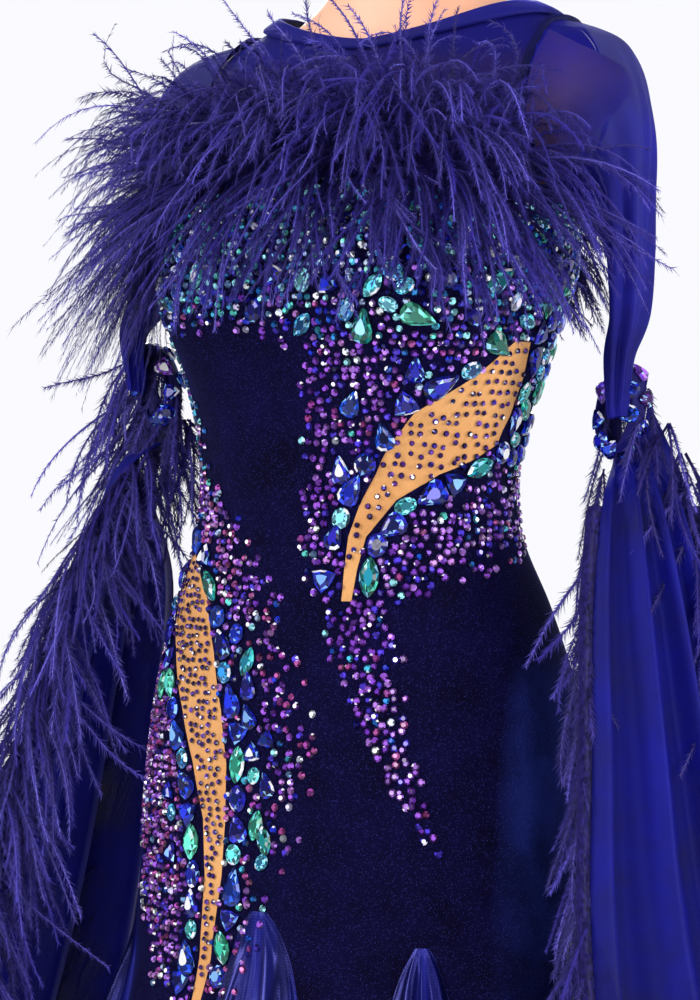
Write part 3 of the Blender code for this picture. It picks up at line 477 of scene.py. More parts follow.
def makeStone():
    # the stones glow faintly in their own tints: painted light, not a lamp
    stone = Finish("stones", Specular_IOR_Level=0.30, Coat_Weight=0.15, Coat_Roughness=0.02,
                   Emission_Strength=0.16)
    tint = stone.tint()
    cloud = stone.noise(420, 2)
    stone.set(Base_Color=tint, Emission_Color=tint, Metallic=0.04 + cloud * 0.12, Roughness=0.07 + cloud * 0.12)
    stone.bump(cloud, 0.0002, 0.25)
    return stone


def makeForm():
    form = Finish("form", Roughness=0.46, Specular_IOR_Level=0.35, Coat_Weight=0.08, Coat_Roughness=0.4)
    form.set(Subsurface_Weight=0.12, Subsurface_Radius=(0.02, 0.008, 0.004), Subsurface_Scale=0.5)
    tone, grain = form.noise(5, 3), form.noise(420, 2)
    form.set(Base_Color=form.mix(tone.above(0.3, 0.75), linear(226, 166, 134), linear(240, 186, 154)),
             Roughness=0.42 + grain * 0.12)
    form.bump(grain + tone * 0.4, 0.0002, 0.3)
    return form


def makeMetal():
    metal = Finish("stand", Metallic=0.85, Anisotropic=0.5)
    x, y, z = metal.split(metal.spot())
    brush = metal.noise(3.0, at=metal.node("CombineXYZ", None, {"X": x * 60, "Y": y * 60, "Z": z * 900}))
    wear = metal.noise(30, 4)
    metal.set(Base_Color=metal.mix(brush.above(0.3, 0.7), (0.42, 0.42, 0.44), (0.60, 0.60, 0.62)),
              Roughness=0.28 + brush * 0.15 + wear * 0.1)
    metal.bump(brush, 0.0002, 0.3)
    return metal


def makeZip():
    tape = Finish("zip", Roughness=0.7, Specular_IOR_Level=0.2)
    u, v, _ = tape.split(tape.flat())
    rib = u.wave(900) * 0.5 + v.wave(700) * 0.5
    tape.set(Base_Color=tape.mix(rib, linear(6, 4, 40), linear(18, 14, 70)))
    tape.bump(rib, 0.0003, 0.6)
    return tape


velvet, satin, insertMesh = makeVelvet(), makeSatin(), makeInsert()
sheerMesh = makeSheer("mesh", linear(6, 5, 82), linear(17, 15, 126), 0.70, 0.18, 900, 0.28, (0.040, 0.170))
yokeMesh = makeSheer("yoke", linear(6, 5, 66), linear(16, 14, 100), 0.82, 0.15, 900, 0.2)
chiffon = makeSheer("chiffon", linear(4, 4, 72), linear(14, 16, 126), 0.975, 0.16, 700)
featherFinish, stoneFinish, formFinish = makeFeather(), makeStone(), makeForm()
metalFinish, zipFinish = makeMetal(), makeZip()
print("finishes made")

# camera, floor, world and lamps

def makeCamera():
    scene = bpy.context.scene
    lens = bpy.data.cameras.new("camera")
    lens.lens, lens.sensor_width, lens.shift_x = 126.4, 36.0, -0.009
    camera = bpy.data.objects.new("camera", lens)
    camera.location = (1.300, -2.2517, 1.12)
    camera.rotation_euler = (pi / 2, 0.0, math.radians(30))
    scene.collection.objects.link(camera)
    scene.camera = camera


def makeFloor():
    points, faces = lathe([(2.6, -0.004), (2.62, -0.002), (2.6, 0.0)], 96)
    mesh = bpy.data.meshes.new("floor")
    mesh.from_pydata(points.reshape(-1, 3).tolist(), [], faces)
    mesh.materials.append(Finish("floor", Base_Color=(0.86, 0.86, 0.88), Roughness=0.75).material)
    floor = bpy.data.objects.new("floor", mesh)
    bpy.context.scene.collection.objects.link(floor)


def makeWorld():
    world = bpy.data.worlds.new("studio")
    world.use_nodes = True
    bpy.context.scene.world = world
    tree = world.node_tree
    parts = tree.nodes.new("ShaderNodeSeparateXYZ")
    tree.links.new(tree.nodes.new("ShaderNodeTexCoord").outputs["Generated"], parts.inputs[0])
    x, y, z = (Wire(tree, out) for out in parts.outputs)
    level = z.calc("ABSOLUTE").above(0.46, 0.30)
    # brightest behind the gown, dimmer in front of it
    behind = (y * 0.866 - x * 0.5).above(0.05, 0.45)
    mixer = tree.nodes.new("ShaderNodeMix")
    mixer.data_type = "RGBA"
    for slot, value in ((0, level * behind), (6, (0.34, 0.35, 0.41)), (7, (0.955, 0.955, 1.0))):
        attach(tree, mixer.inputs[slot], value)
    tree.links.new(mixer.outputs[2], tree.nodes["Background"].inputs["Color"])


# x, y, z, width, height, power
lamps = {"key": (-1.9, -3.0, 2.7, 1.2, 1.8, 120), "fill": (3.2, -2.2, 1.7, 1.0, 1.8, 62),
         "front": (0.9, -3.6, 1.2, 0.5, 1.5, 34), "back": (-1.8, 2.6, 2.6, 1.4, 1.0, 70),
         "rim": (3.0, 0.7, 1.6, 0.6, 1.8, 70)}
lampsAim = Vector((0, 0, 1.05))


def makeLamps():
    for name, (x, y, z, width, height, power) in lamps.items():
        lamp = bpy.data.lights.new(name, "AREA")
        lamp.shape, lamp.size, lamp.size_y, lamp.energy = "RECTANGLE", width, height, power
        item = bpy.data.objects.new(name, lamp)
        item.location = (x, y, z)
        item.rotation_euler = (lampsAim - item.location).to_track_quat("-Z", "Y").to_euler()
        bpy.context.scene.collection.objects.link(item)


makeCamera()
makeFloor()
makeWorld()
makeLamps()
bpy.context.scene.view_settings.view_transform = "Standard"
print("studio made")

# velvet panels

closestRows = 0.0022
# how far an edge sinks into its seam, and how fast that fades
seamSink, seamFade = 0.0009, 0.002
panelTop = 1.380


def panelColumns(seams, counts):
    columns, bands = [], []
    for k, count in enumerate(counts):
        t = np.linspace(0, 1, count + 1)
        t = t - 0.09 * np.sin(2 * pi * t)
        for step in t[:-1]:
            columns.append(seams[k] + (seams[k + 1] - seams[k]) * step)
            bands.append(k)
    columns.append(seams[-1])
    return np.stack(columns, 1), np.array(bands)


def panelRows(top, fine=0.005, coarse=0.0085):
    # even rows, and one at each height that a seam line names
    lines = (hipOuter, hipInner, waistUpper, waistLower, godets)
    marks = {round(float(v), 4) for line in lines for pair in line for v in pair if hemZ < v < top}
    marks |= {top, hemZ}
    even = set(np.round(np.arange(top, hipTip, -fine), 4)) | set(np.round(np.arange(hipTip, hemZ, -coarse), 4))
    heights = sorted(even | marks, reverse=True)
    kept = heights[:1]
    for z in heights[1:]:
        if z in marks or kept[-1] - z >= closestRows:
            kept.append(z)
    return np.array(kept)


def velvetPanel(spec):
    z = panelRows(panelTop)
    level = z[:, None]
    seams = [s(z) if callable(s) else np.full(len(z), float(s)) for s in spec["seams"]]
    angles, bands = panelColumns(seams, spec["counts"])
    keep = np.ones((len(z) - 1, len(bands)), bool)
    near = np.full(angles.shape, 9.0)
    reach = perDegree(angles, level)
    for band, (low, high) in spec["open"].items():
        rows = (z[:-1] <= high + 1e-6) & (z[:-1] > low + 1e-6)
        keep[np.ix_(rows, bands == band)] = False
        live = ((z <= high + 1e-6) & (z >= low - 1e-6))[:, None]
        for line in (seams[band], seams[band + 1]):
            near = np.where(live, np.minimum(near, np.abs(angles - line[:, None]) * reach), near)
    for line in (seams[0], seams[-1]):
        near = np.minimum(near, np.abs(angles - line[:, None]) * reach)
    out = -seamSink * np.exp(-(near / seamFade) ** 2)
    # faint creases round the waist
    out += 0.0008 * np.sin(0.13 * angles + 31 * level) * np.exp(-((level - 1.12) / 0.10) ** 2)
    points = place(angles, level, out)
    flat = np.stack([np.radians(angles) * 0.16, np.broadcast_to(level, angles.shape)], -1)
    # the top edge and the hem are turned in
    inner = place(angles[[0, 0]], np.array([[panelTop], [panelTop - 0.015]]), np.array([[-0.0012], [-0.0020]]))
    under = place(angles[[-1, -1]], np.array([[hemZ], [hemZ + 0.020]]), np.array([[-0.0012], [-0.0018]]))
    under[0, :, 2] -= 0.0006
    points = np.concatenate([inner[::-1], points, under])
    flat = np.concatenate([flat[:1], flat[:1], flat, flat[-1:], flat[-1:]])
    whole = np.ones((len(z) + 3, len(bands)), bool)
    whole[2:-2] = keep
    whole[-2:] = keep[-1]
    faces = gridFaces(len(points), angles.shape[1], keep=whole)
    used = np.unique(faces)
    renumber = np.zeros(points[..., 0].size, int)
    renumber[used] = np.arange(len(used))
    kept, cut = points.reshape(-1, 3)[used], flat.reshape(-1, 2)[used]
    makeSheet(spec, kept, velvet, "velvet", cut, faces=renumber[faces])


def edge(index, side):
    return lambda z: godetEdge(index, side, z)


def along(pairs):
    return lambda z: seamLine(pairs, z)


formSpec = {"rows": 96, "columns": 96}
# half the gap between two panels, in degrees
seamGap = 0.012


def makeTorso():
    z = np.linspace(formBottom, formTop, formSpec["rows"])
    angles = np.arange(formSpec["columns"]) * 360 / formSpec["columns"]
    grid, heights = np.meshgrid(angles, z)
    inset = 0.0056 + 0.0025 * np.interp(heights, (1.30, 1.34, 1.43, 1.46), (0, 1.3, 1.2, 1.8))
    points = bodyPoint(grid, heights) - inset[..., None] * bodyNormal(grid, heights)
    points[0, :, 2], points[-1, :, 2] = formBottom, formTop
    middle = points[-1].mean(0)
    cap = [middle + (points[-1] - middle) * share + np.array([0, 0, rise])
           for share, rise in ((0.97, 0.0016), (0.90, 0.0024))]
    low = points[0].mean(0)
    foot = [low + (points[0] - low) * s - np.array([0, 0, h]) for s, h in ((0.95, -0.0001), (0.985, -0.0001))]
    points = np.concatenate([np.stack(foot), points, np.stack(cap)])
    faces = cappedFaces(len(points), formSpec["columns"])
    makePiece("form", points, faces, formFinish, "form", ["form_torso"])


def makeStand():
    # each profile: distance from the axis, height
    pole = lathe([(0.0150, 0.0185), (0.0150, 0.60), (0.0148, 0.601), (0.0148, 0.8395)], 48)
    collar = lathe([(0.0151, 0.018), (0.024, 0.018), (0.025, 0.0195), (0.025, 0.042), (0.0235, 0.044),
                    (0.0152, 0.044)], 48)
    points, faces = sew([pole, collar])
    makePiece("pole", points, faces, metalFinish, "stand", ["form_pole"])
    points, faces = lathe([(0.166, 0.0), (0.1695, 0.0012), (0.170, 0.003), (0.1655, 0.0150), (0.1640, 0.0172),
                           (0.1615, 0.0180), (0.060, 0.0180)], 128)
    makePiece("base", points, faces, metalFinish, "stand", ["form_base"])


makeTorso()
makeStand()
# open: which band between two seams is open, from the first height to the second
panels = ({"name": "body_front_velvet", "nodes": ["body_front"], "flat": (0.80, 1.40), "area": 0.66,
           "seams": [sideRight + seamGap, edge(0, -1), edge(0, 1), along(hipOuter), along(hipInner),
                     edge(1, -1), edge(1, 1), along(waistUpper), along(waistLower), edge(2, -1), edge(2, 1),
                     edge(3, -1), edge(3, 1), sideLeft - seamGap],
           "counts": [10, 6, 14, 5, 12, 6, 20, 12, 12, 6, 14, 6, 10],
           "open": {1: (0, 0.850), 3: (hipTip, hipTop), 5: (0, 0.827), 7: (waistTip, waistTop),
                    9: (0, 0.806), 11: (0, 0.806)}},
          {"name": "body_back_left_velvet", "nodes": ["body_back_left"], "flat": (0.22, 1.38), "area": 0.17,
           "seams": [sideLeft + seamGap, edge(4, -1), edge(4, 1), edge(5, -1), edge(5, 1),
                     centreBack - seamGap],
           "counts": [10, 6, 14, 6, 10], "open": {1: (0, 0.827), 3: (0, 0.827)}},
          {"name": "body_back_right_velvet", "nodes": ["body_back_right"], "flat": (0.30, 1.38), "area": 0.24,
           "seams": [centreBack + seamGap, edge(6, -1), edge(6, 1), edge(7, -1), edge(7, 1),
                     sideRight + 360.0 - seamGap],
           "counts": [10, 6, 14, 6, 10], "open": {1: (0, 0.827), 3: (0, 0.850)}})
for spec in panels:
    velvetPanel({**spec, "held": "stretched", "rests_on": ["form"]})
print("panels made")


# width of a godet's cut at the hem, and the share of its rectangle that the triangle takes
godetWidth, godetCut, godetColumns = 0.50, 0.55, 45


def makeGodet(index):
    middle, top = godets[index]
    z = np.array(sorted(set(np.round(np.arange(top, hemZ, -0.0075), 4)) | {top - 0.0025, top - 0.005, hemZ},
                        reverse=True))
    half = godetHalf(index, z)[:, None]
    t = np.linspace(-1, 1, godetColumns)[None, :]
    t = t + 0.04 * np.sin(pi * t)
    angles = middle + half * t
    height = np.broadcast_to(z[:, None], angles.shape)
    width = half * 0.0035
    drop = np.clip((top - height) / 0.25, 0, 1)
    out = -seamSink * np.exp(-((1 - np.abs(t)) * width / 0.0022) ** 2)
    fold = 0.0030 * np.sin(9.5 * t + 2.0 * index + 3 * height)
    crease = 0.0024 * np.sin(14 * t + 26 * height + index) + 0.0012 * np.sin(25 * t - 34 * height)
    out = out + (drop * fold + np.clip((top - height) / 0.10, 0, 1) * crease) * (1 - t ** 6)
    out = out + 0.0025 * np.sqrt(drop) * (1 - t ** 4)
    points = place(angles, height, out)
    under = place(angles[[-1, -1]], np.array([[hemZ], [hemZ + 0.014]]),
                  out[[-1, -1]] + np.array([[-0.0010], [-0.0016]]))
    points = np.concatenate([points, under])
    flat = np.stack([np.radians(angles - middle) * 0.30, height], -1)
    flat = np.concatenate([flat, flat[-1:], flat[-1:]])
    holder = panels[0 if index < 4 else 1 if index < 6 else 2]["name"]
    spec = {"name": "godet_%d_satin" % (index + 1), "nodes": ["godet_%d" % (index + 1)],
            "flat": (godetWidth, top), "area": godetWidth * top * godetCut, "held": "hung", "rests_on": [holder]}
    makeSheet(spec, points, satin, "satin", flat)


for number in range(len(godets)):
    makeGodet(number)
print("godets made")


def makeInsertPiece(spec):
    z = panelRows(spec["top"], 0.0045)
    z = z[z >= spec["tip"] - 1e-6]
    left, right = (seamLine(spec[key], z)[:, None] for key in ("left", "right"))
    angles = left + (right - left) * np.linspace(-0.02, 1.02, 19)[None, :]
    height = np.broadcast_to(z[:, None], angles.shape)
    points = place(angles, height, np.full(angles.shape, -0.0010))
    flat = np.stack([np.radians(angles) * 0.16, height], -1)
    makeSheet({**spec, "held": "stretched", "rests_on": ["form"]}, points, insertMesh, "insert", flat)


makeInsertPiece({"name": "insert_hip_mesh", "nodes": ["insert_hip"], "left": hipOuter, "right": hipInner,
                 "top": hipTop, "tip": hipTip, "flat": (0.068, 0.363), "area": 0.0112})
makeInsertPiece({"name": "insert_waist_mesh", "nodes": ["insert_waist"], "left": waistUpper,
                 "right": waistLower, "top": waistTop, "tip": waistTip, "flat": (0.065, 0.221),
                 "area": 0.0082})
print("inserts made")

# yoke, neck binding and sleeves

armMid, armHalf, sleeveOut, sleeveDip = 1.405, 0.061, 0.0017, 0.010
# height, distance from the middle
armholeRows = ((1.344, 0.150), (1.370, 0.137), (1.410, 0.134), (1.450, 0.132), (1.466, 0.128))
neckFront, neckBack, neckSide, neckSideX = 1.452, 1.462, 1.4785, 0.105
yokeLap, shoulderShare = 0.0016, 0.86
yokeShares = np.linspace(-1, 1, 81)
yokes = ["yoke_front_mesh", "yoke_back_mesh"]


def armholeX(z):
    return np.interp(z, *zip(*armholeRows))


def armhole(turn, side, room=0.002):
    z = armMid + armHalf * np.cos(turn)
    width = armholeX(z) - room * np.abs(np.sin(turn))
    angle = np.degrees(np.arcsin(np.minimum((width / curveValue(sections, z, 1)) ** (squareness / 2), 1.0)))
    angle = 90.0 + (angle - 90.0) * np.minimum(4 * np.abs(np.sin(turn)), 1.0)
    return side * np.where(np.sin(turn) < -1e-6, 180.0 - angle, angle), z


def yokeSpot(front, share, t):
    middle, neckZ = (0.0, neckFront) if front else (180.0, neckBack)
    low, high = armMid - armHalf, armMid + armHalf
    run = (t - shoulderShare) / (1 - shoulderShare)
    below = t < shoulderShare
    scoop = armMid - armHalf * np.cos(pi * np.minimum(t / shoulderShare, 1))
    sideZ = np.where(below, scoop, high + (neckSide - high) * run)
    sideX = np.where(below, armholeX(sideZ), armholeRows[-1][1] + (neckSideX - armholeRows[-1][1]) * run)
    away = np.abs(share)
    bottom = low + yokeLap + (topLine(middle) - low) * (1 - away ** squareness)
    neck = neckZ + (neckSide - neckZ) * away ** 1.5
    z = (1 - t) * bottom + t * neck
    z = z + away * away * (sideZ - (1 - t) * (low + yokeLap) - t * neckSide)
    reach = (away * sideX / curveValue(sections, z, 1)) ** (squareness / 2)
    angle = np.degrees(np.arcsin(np.minimum(reach, 1.0)))
    return middle + np.copysign(np.minimum(angle, 89.8), share), z


def makeYoke(spec):
    t, share = np.meshgrid(np.linspace(1, 0, 56), yokeShares, indexing="ij")
    angle, z = yokeSpot(spec["front"], share, t)
    ripple = 0.0006 * np.sin(9 * share + 4 * t) * (1 - share ** 4) * np.sin(pi * t)
    points = bodyPoint(angle, z, ripple)
    flat = np.stack([share * 0.19, z], -1)
    makeSheet({**spec, "held": "stretched", "rests_on": ["form"]}, points, yokeMesh, "mesh", flat)


def makeNeckBinding():
    rows = []
    # share of the yoke's height, distance out
    for t, out in ((1.020, 0.0018), (1.024, 0.0034), (1.015, 0.0047), (0.985, 0.0052), (0.955, 0.0052),
                   (0.930, 0.0046), (0.920, 0.0032), (0.922, 0.0018)):
        ring = []
        for isFront, shares in ((True, yokeShares), (False, yokeShares[1:-1])):
            angle, z = yokeSpot(isFront, shares, np.full(shares.shape, t))
            ring.append(bodyPoint(angle, z) + out * bodyNormal(angle, z))
        rows.append(np.concatenate(ring))
    points = np.stack(rows)
    spec = {"name": "neck_binding_chiffon", "nodes": ["neck_binding"], "flat": (0.74, 0.016), "held": "folded",
            "rests_on": yokes}
    makeSheet(spec, points, bindingFinish, "chiffon", cutGrid(0.03, 8, 0.7, points.shape[1]), True)


# outer x, outer z, inner x, inner z, mid y, half depth
sleeveLeft = ((0.1850, 1.4600, 0.1760, 1.338, 0.0220, 0.0640), (0.2055, 1.4480, 0.1840, 1.329, 0.0210, 0.0520),
              (0.2180, 1.4220, 0.1890, 1.318, 0.0200, 0.0410), (0.2245, 1.3900, 0.1970, 1.304, 0.0190, 0.0320),
              (0.2245, 1.3450, 0.2010, 1.286, 0.0180, 0.0250), (0.2235, 1.3000, 0.2025, 1.266, 0.0180, 0.0230),
              (0.2210, 1.2550, 0.2030, 1.247, 0.0165, 0.0190), (0.2160, 1.2235, 0.2010, 1.2215, 0.0096, 0.0080),
              (0.2120, 1.1900, 0.2010, 1.1880, 0.0104, 0.0072))
sleeveRight = ((-0.1280, 1.4610, -0.1410, 1.338, 0.0220, 0.0680),
               (-0.1500, 1.4510, -0.1490, 1.329, 0.0210, 0.0620),
               (-0.1680, 1.4270, -0.1560, 1.318, 0.0200, 0.0540),
               (-0.1800, 1.3920, -0.1620, 1.304, 0.0190, 0.0430),
               (-0.1900, 1.3500, -0.1680, 1.290, 0.0180, 0.0320),
               (-0.1980, 1.3100, -0.1740, 1.278, 0.0180, 0.0250),
               (-0.2040, 1.2780, -0.1830, 1.270, 0.0165, 0.0190),
               (-0.2140, 1.2485, -0.1990, 1.2465, 0.0096, 0.0080),
               (-0.2100, 1.2150, -0.1990, 1.2130, 0.0104, 0.0072))


def lowered(rows):
    # the sleeve's end hangs a little into the band's opening
    outerX, outerZ, innerX, innerZ, midY, depth = rows[-1]
    return rows + ((outerX, outerZ - sleeveDip, innerX, innerZ - sleeveDip, midY, depth * 0.8),)


def sleeveRing(row, turn):
    outerX, outerZ, innerX, innerZ, midY, depth = row
    middle = np.array([(outerX + innerX) / 2, midY, (outerZ + innerZ) / 2])
    arm = np.array([(outerX - innerX) / 2, 0, (outerZ - innerZ) / 2])
    return middle + arm * np.cos(turn)[:, None] - np.array([0, depth, 0]) * np.sin(turn)[:, None]


def sleeveGrid(rows, side, turns, count):
    angle, z = armhole(turns, side)
    head = bodyPoint(angle, z) + sleeveOut * bodyNormal(angle, z)
    rings = np.stack([head] + [sleeveRing(row, turns) for row in rows])
    share = np.linspace(0, 1, count) ** 0.9
    grid = smoothRows(rings, count, share)
    normal = tubeNormals(grid) * side
    s, t = share[:, None], turns[None, :]
    deep = np.interp(s, (0.0, 0.18, 0.45, 0.75, 1.0), (0.0, 0.0010, 0.0034, 0.0040, 0.0016))
    fold = (0.55 * np.sin(5 * t + 1.2 + 1.6 * s) + 0.30 * np.sin(8 * t + 0.4 - 2.2 * s)
            + 0.15 * np.sin(13 * t + 3 * s))
    gather = 0.0006 * np.exp(-((s - 0.03) / 0.03) ** 2) * np.sin(26 * t)
    drape = 0.0035 * np.exp(-((s - 0.30) / 0.10) ** 2) * np.sin(3 * t + 9 * s)
    return grid + normal * (deep * (fold - 0.35) + gather + drape * 0.5)[..., None]


sleeveCount = 104


def makeSleeve(spec):
    turns = np.arange(sleeveCount) * 2 * pi / sleeveCount
    grid = sleeveGrid(lowered(spec["rows"]), spec["side"], turns, sleeveCount)
    makeSheet({**spec, "held": "gathered", "rests_on": yokes}, grid, sheerMesh, "mesh",
              cutGrid(0.33, sleeveCount, 0.26, sleeveCount), True)


bindingFinish = makeSheer("binding", linear(8, 8, 64), linear(22, 22, 110), 0.96, 0.4)
for word in ("front", "back"):
    makeYoke({"name": "yoke_%s_mesh" % word, "front": word == "front", "nodes": ["yoke_" + word],
              "flat": (0.40, 0.15), "area": 0.032})
makeNeckBinding()
makeSleeve({"name": "sleeve_left_mesh", "rows": sleeveLeft, "side": 1, "nodes": ["sleeve_left"],
            "flat": (0.30, 0.33), "area": 0.045})
makeSleeve({"name": "sleeve_right_mesh", "rows": sleeveRight, "side": -1, "nodes": ["sleeve_right"],
            "flat": (0.32, 0.33), "area": 0.050})
print("yoke and sleeves made")

# wrist bands and floats

# mid x, mid y, mid z, half width, half height, depth
bandLeft = (0.200, 0.030, 1.185, 0.0160, 0.0310, 0.018)
bandRight = (-0.198, 0.030, 1.210, 0.0160, 0.0310, 0.018)
bandTurn, bandLean, bandStart, bandSpan = 10.0, 12.0, -125.0, 145.0


def bandRing(row, turn, back, out=0.0):
    midX, midY, midZ, halfWidth, halfHeight, depth = row
    side, heading, lean = math.copysign(1.0, midX), math.radians(bandTurn), math.radians(bandLean)
    turn, back, out = np.broadcast_arrays(np.asarray(turn, float), back, out)
    across = np.array([side * math.cos(heading), -math.sin(heading), 0])
    front = np.array([-side * math.sin(heading), -math.cos(heading), 0])
    level, height = (halfWidth + out) * np.cos(turn), (halfHeight + out) * np.sin(turn)
    level, height = (level * math.cos(lean) + height * math.sin(lean),
                     height * math.cos(lean) - level * math.sin(lean))
    return (np.array([midX, midY, midZ]) + np.array([0, 0, 1]) * height[..., None]
            + across * level[..., None] + front * (depth / 2 - back)[..., None])


# distance behind the front edge as a share of the depth, distance out; the last rows are the lining
bandProfile = ((0.0, -0.0018), (0.0, -0.0003), (0.04, 0.0003), (0.25, 0.0007), (0.5, 0.0009), (0.75, 0.0007),
               (0.96, 0.0003), (1.0, -0.0003), (1.0, -0.0018), (0.98, -0.0070), (0.94, -0.0120),
               (0.91, -0.0124),
               (0.90, -0.0070), (0.9, -0.0023), (0.5, -0.0021), (0.1, -0.0023), (0.0, -0.0018))
bandCount = 96


def makeBand(spec):
    turns = np.arange(bandCount) * 2 * pi / bandCount * spec["side"]
    rows = [bandRing(spec["row"], turns, spec["row"][5] * share, out) for share, out in bandProfile]
    makeSheet(spec, np.stack(rows), bandFinish, "jewel", cutGrid(0.050, len(rows), 0.15, bandCount), True)


# z, front x, front y, back x, back y, depth of the folds
floatLeft = ((1.148, 0.188, 0.0425, 0.234, 0.0520, 0.0012), (1.115, 0.201, -0.006, 0.243, 0.057, 0.0060),
             (1.040, 0.208, -0.036, 0.262, 0.068, 0.0085), (0.940, 0.216, -0.056, 0.280, 0.080, 0.0110),
             (0.840, 0.222, -0.072, 0.300, 0.092, 0.0130), (0.740, 0.238, -0.090, 0.322, 0.104, 0.0150),
             (0.640, 0.272, -0.116, 0.346, 0.116, 0.0160), (0.540, 0.306, -0.144, 0.370, 0.128, 0.0170))
floatRight = ((1.173, -0.186, 0.0425, -0.232, 0.0520, 0.0012), (1.140, -0.203, -0.006, -0.232, 0.0570, 0.0045),
              (1.060, -0.216, -0.052, -0.214, 0.068, 0.0085), (0.960, -0.232, -0.082, -0.229, 0.080, 0.0110),
              (0.860, -0.248, -0.106, -0.247, 0.092, 0.0130), (0.750, -0.268, -0.130, -0.275, 0.104, 0.0150),
              (0.640, -0.296, -0.150, -0.312, 0.116, 0.0160), (0.540, -0.326, -0.168, -0.342, 0.128, 0.0170))
floatFolds = 4


def floatGrid(rows, band, side, count, columns):
    u = np.linspace(0, 1, columns)
    grid = [bandRing(band, np.radians(bandStart + bandSpan * u), band[5] + 0.0006)]
    for z, frontX, frontY, backX, backY, fold in rows:
        start, end = np.array([frontX, frontY]), np.array([backX, backY])
        run = end - start
        length = float(np.hypot(*run))
        out = np.array([run[1], -run[0]]) / length * side
        swing = (np.sin(2 * pi * floatFolds * u + 0.5)
                 + 0.30 * np.sin(2 * pi * 9 * u + 1.1 + 3 * z) * np.sin(pi * u))
        swing = swing + 0.14 * np.sin(2 * pi * 17 * u + 5 * z) * np.sin(pi * u)
        flat = start + run * u[:, None] + out * (0.16 * length * np.sin(pi * u) + fold * swing)[:, None]
        # the folds lean over, as in cloth cut on the curve
        lean = 0.25 * fold * np.cos(2 * pi * floatFolds * u + 0.5) * np.sin(pi * u)
        flat = flat + run / length * lean[:, None]
        grid.append(np.concatenate([flat, np.full((columns, 1), z)], 1))
    return smoothRows(np.stack(grid), count)


floatRows, floatColumns = 130, 131


def makeFloat(spec):
    grid = floatGrid(spec["rows"], spec["band"], spec["side"], floatRows, floatColumns)
    if spec["side"] < 0:
        grid = grid[:, ::-1]
    makeSheet(spec, grid, chiffon, "chiffon", cutGrid(0.7, floatRows, 0.45, floatColumns))


bandFinish = makeSheer("band", linear(6, 4, 44), linear(20, 16, 92), 1.0, 0.5)
# word, side, band, float
arms = (("left", 1, bandLeft, floatLeft), ("right", -1, bandRight, floatRight))
for word, side, band, _ in arms:
    makeBand({"name": "band_%s_cuff" % word, "row": band, "side": side, "nodes": ["band_" + word],
              "flat": (0.160, 0.044), "held": "folded", "rests_on": ["sleeve_%s_mesh" % word]})
for word, side, band, rows in arms:
    makeFloat({"name": "float_%s_chiffon" % word, "rows": rows, "band": band, "side": side,
               "nodes": ["float_" + word], "flat": (0.46, 0.68), "area": 0.20, "held": "gathered",
               "rests_on": ["band_%s_cuff" % word]})
print("bands and floats made")

# feathers

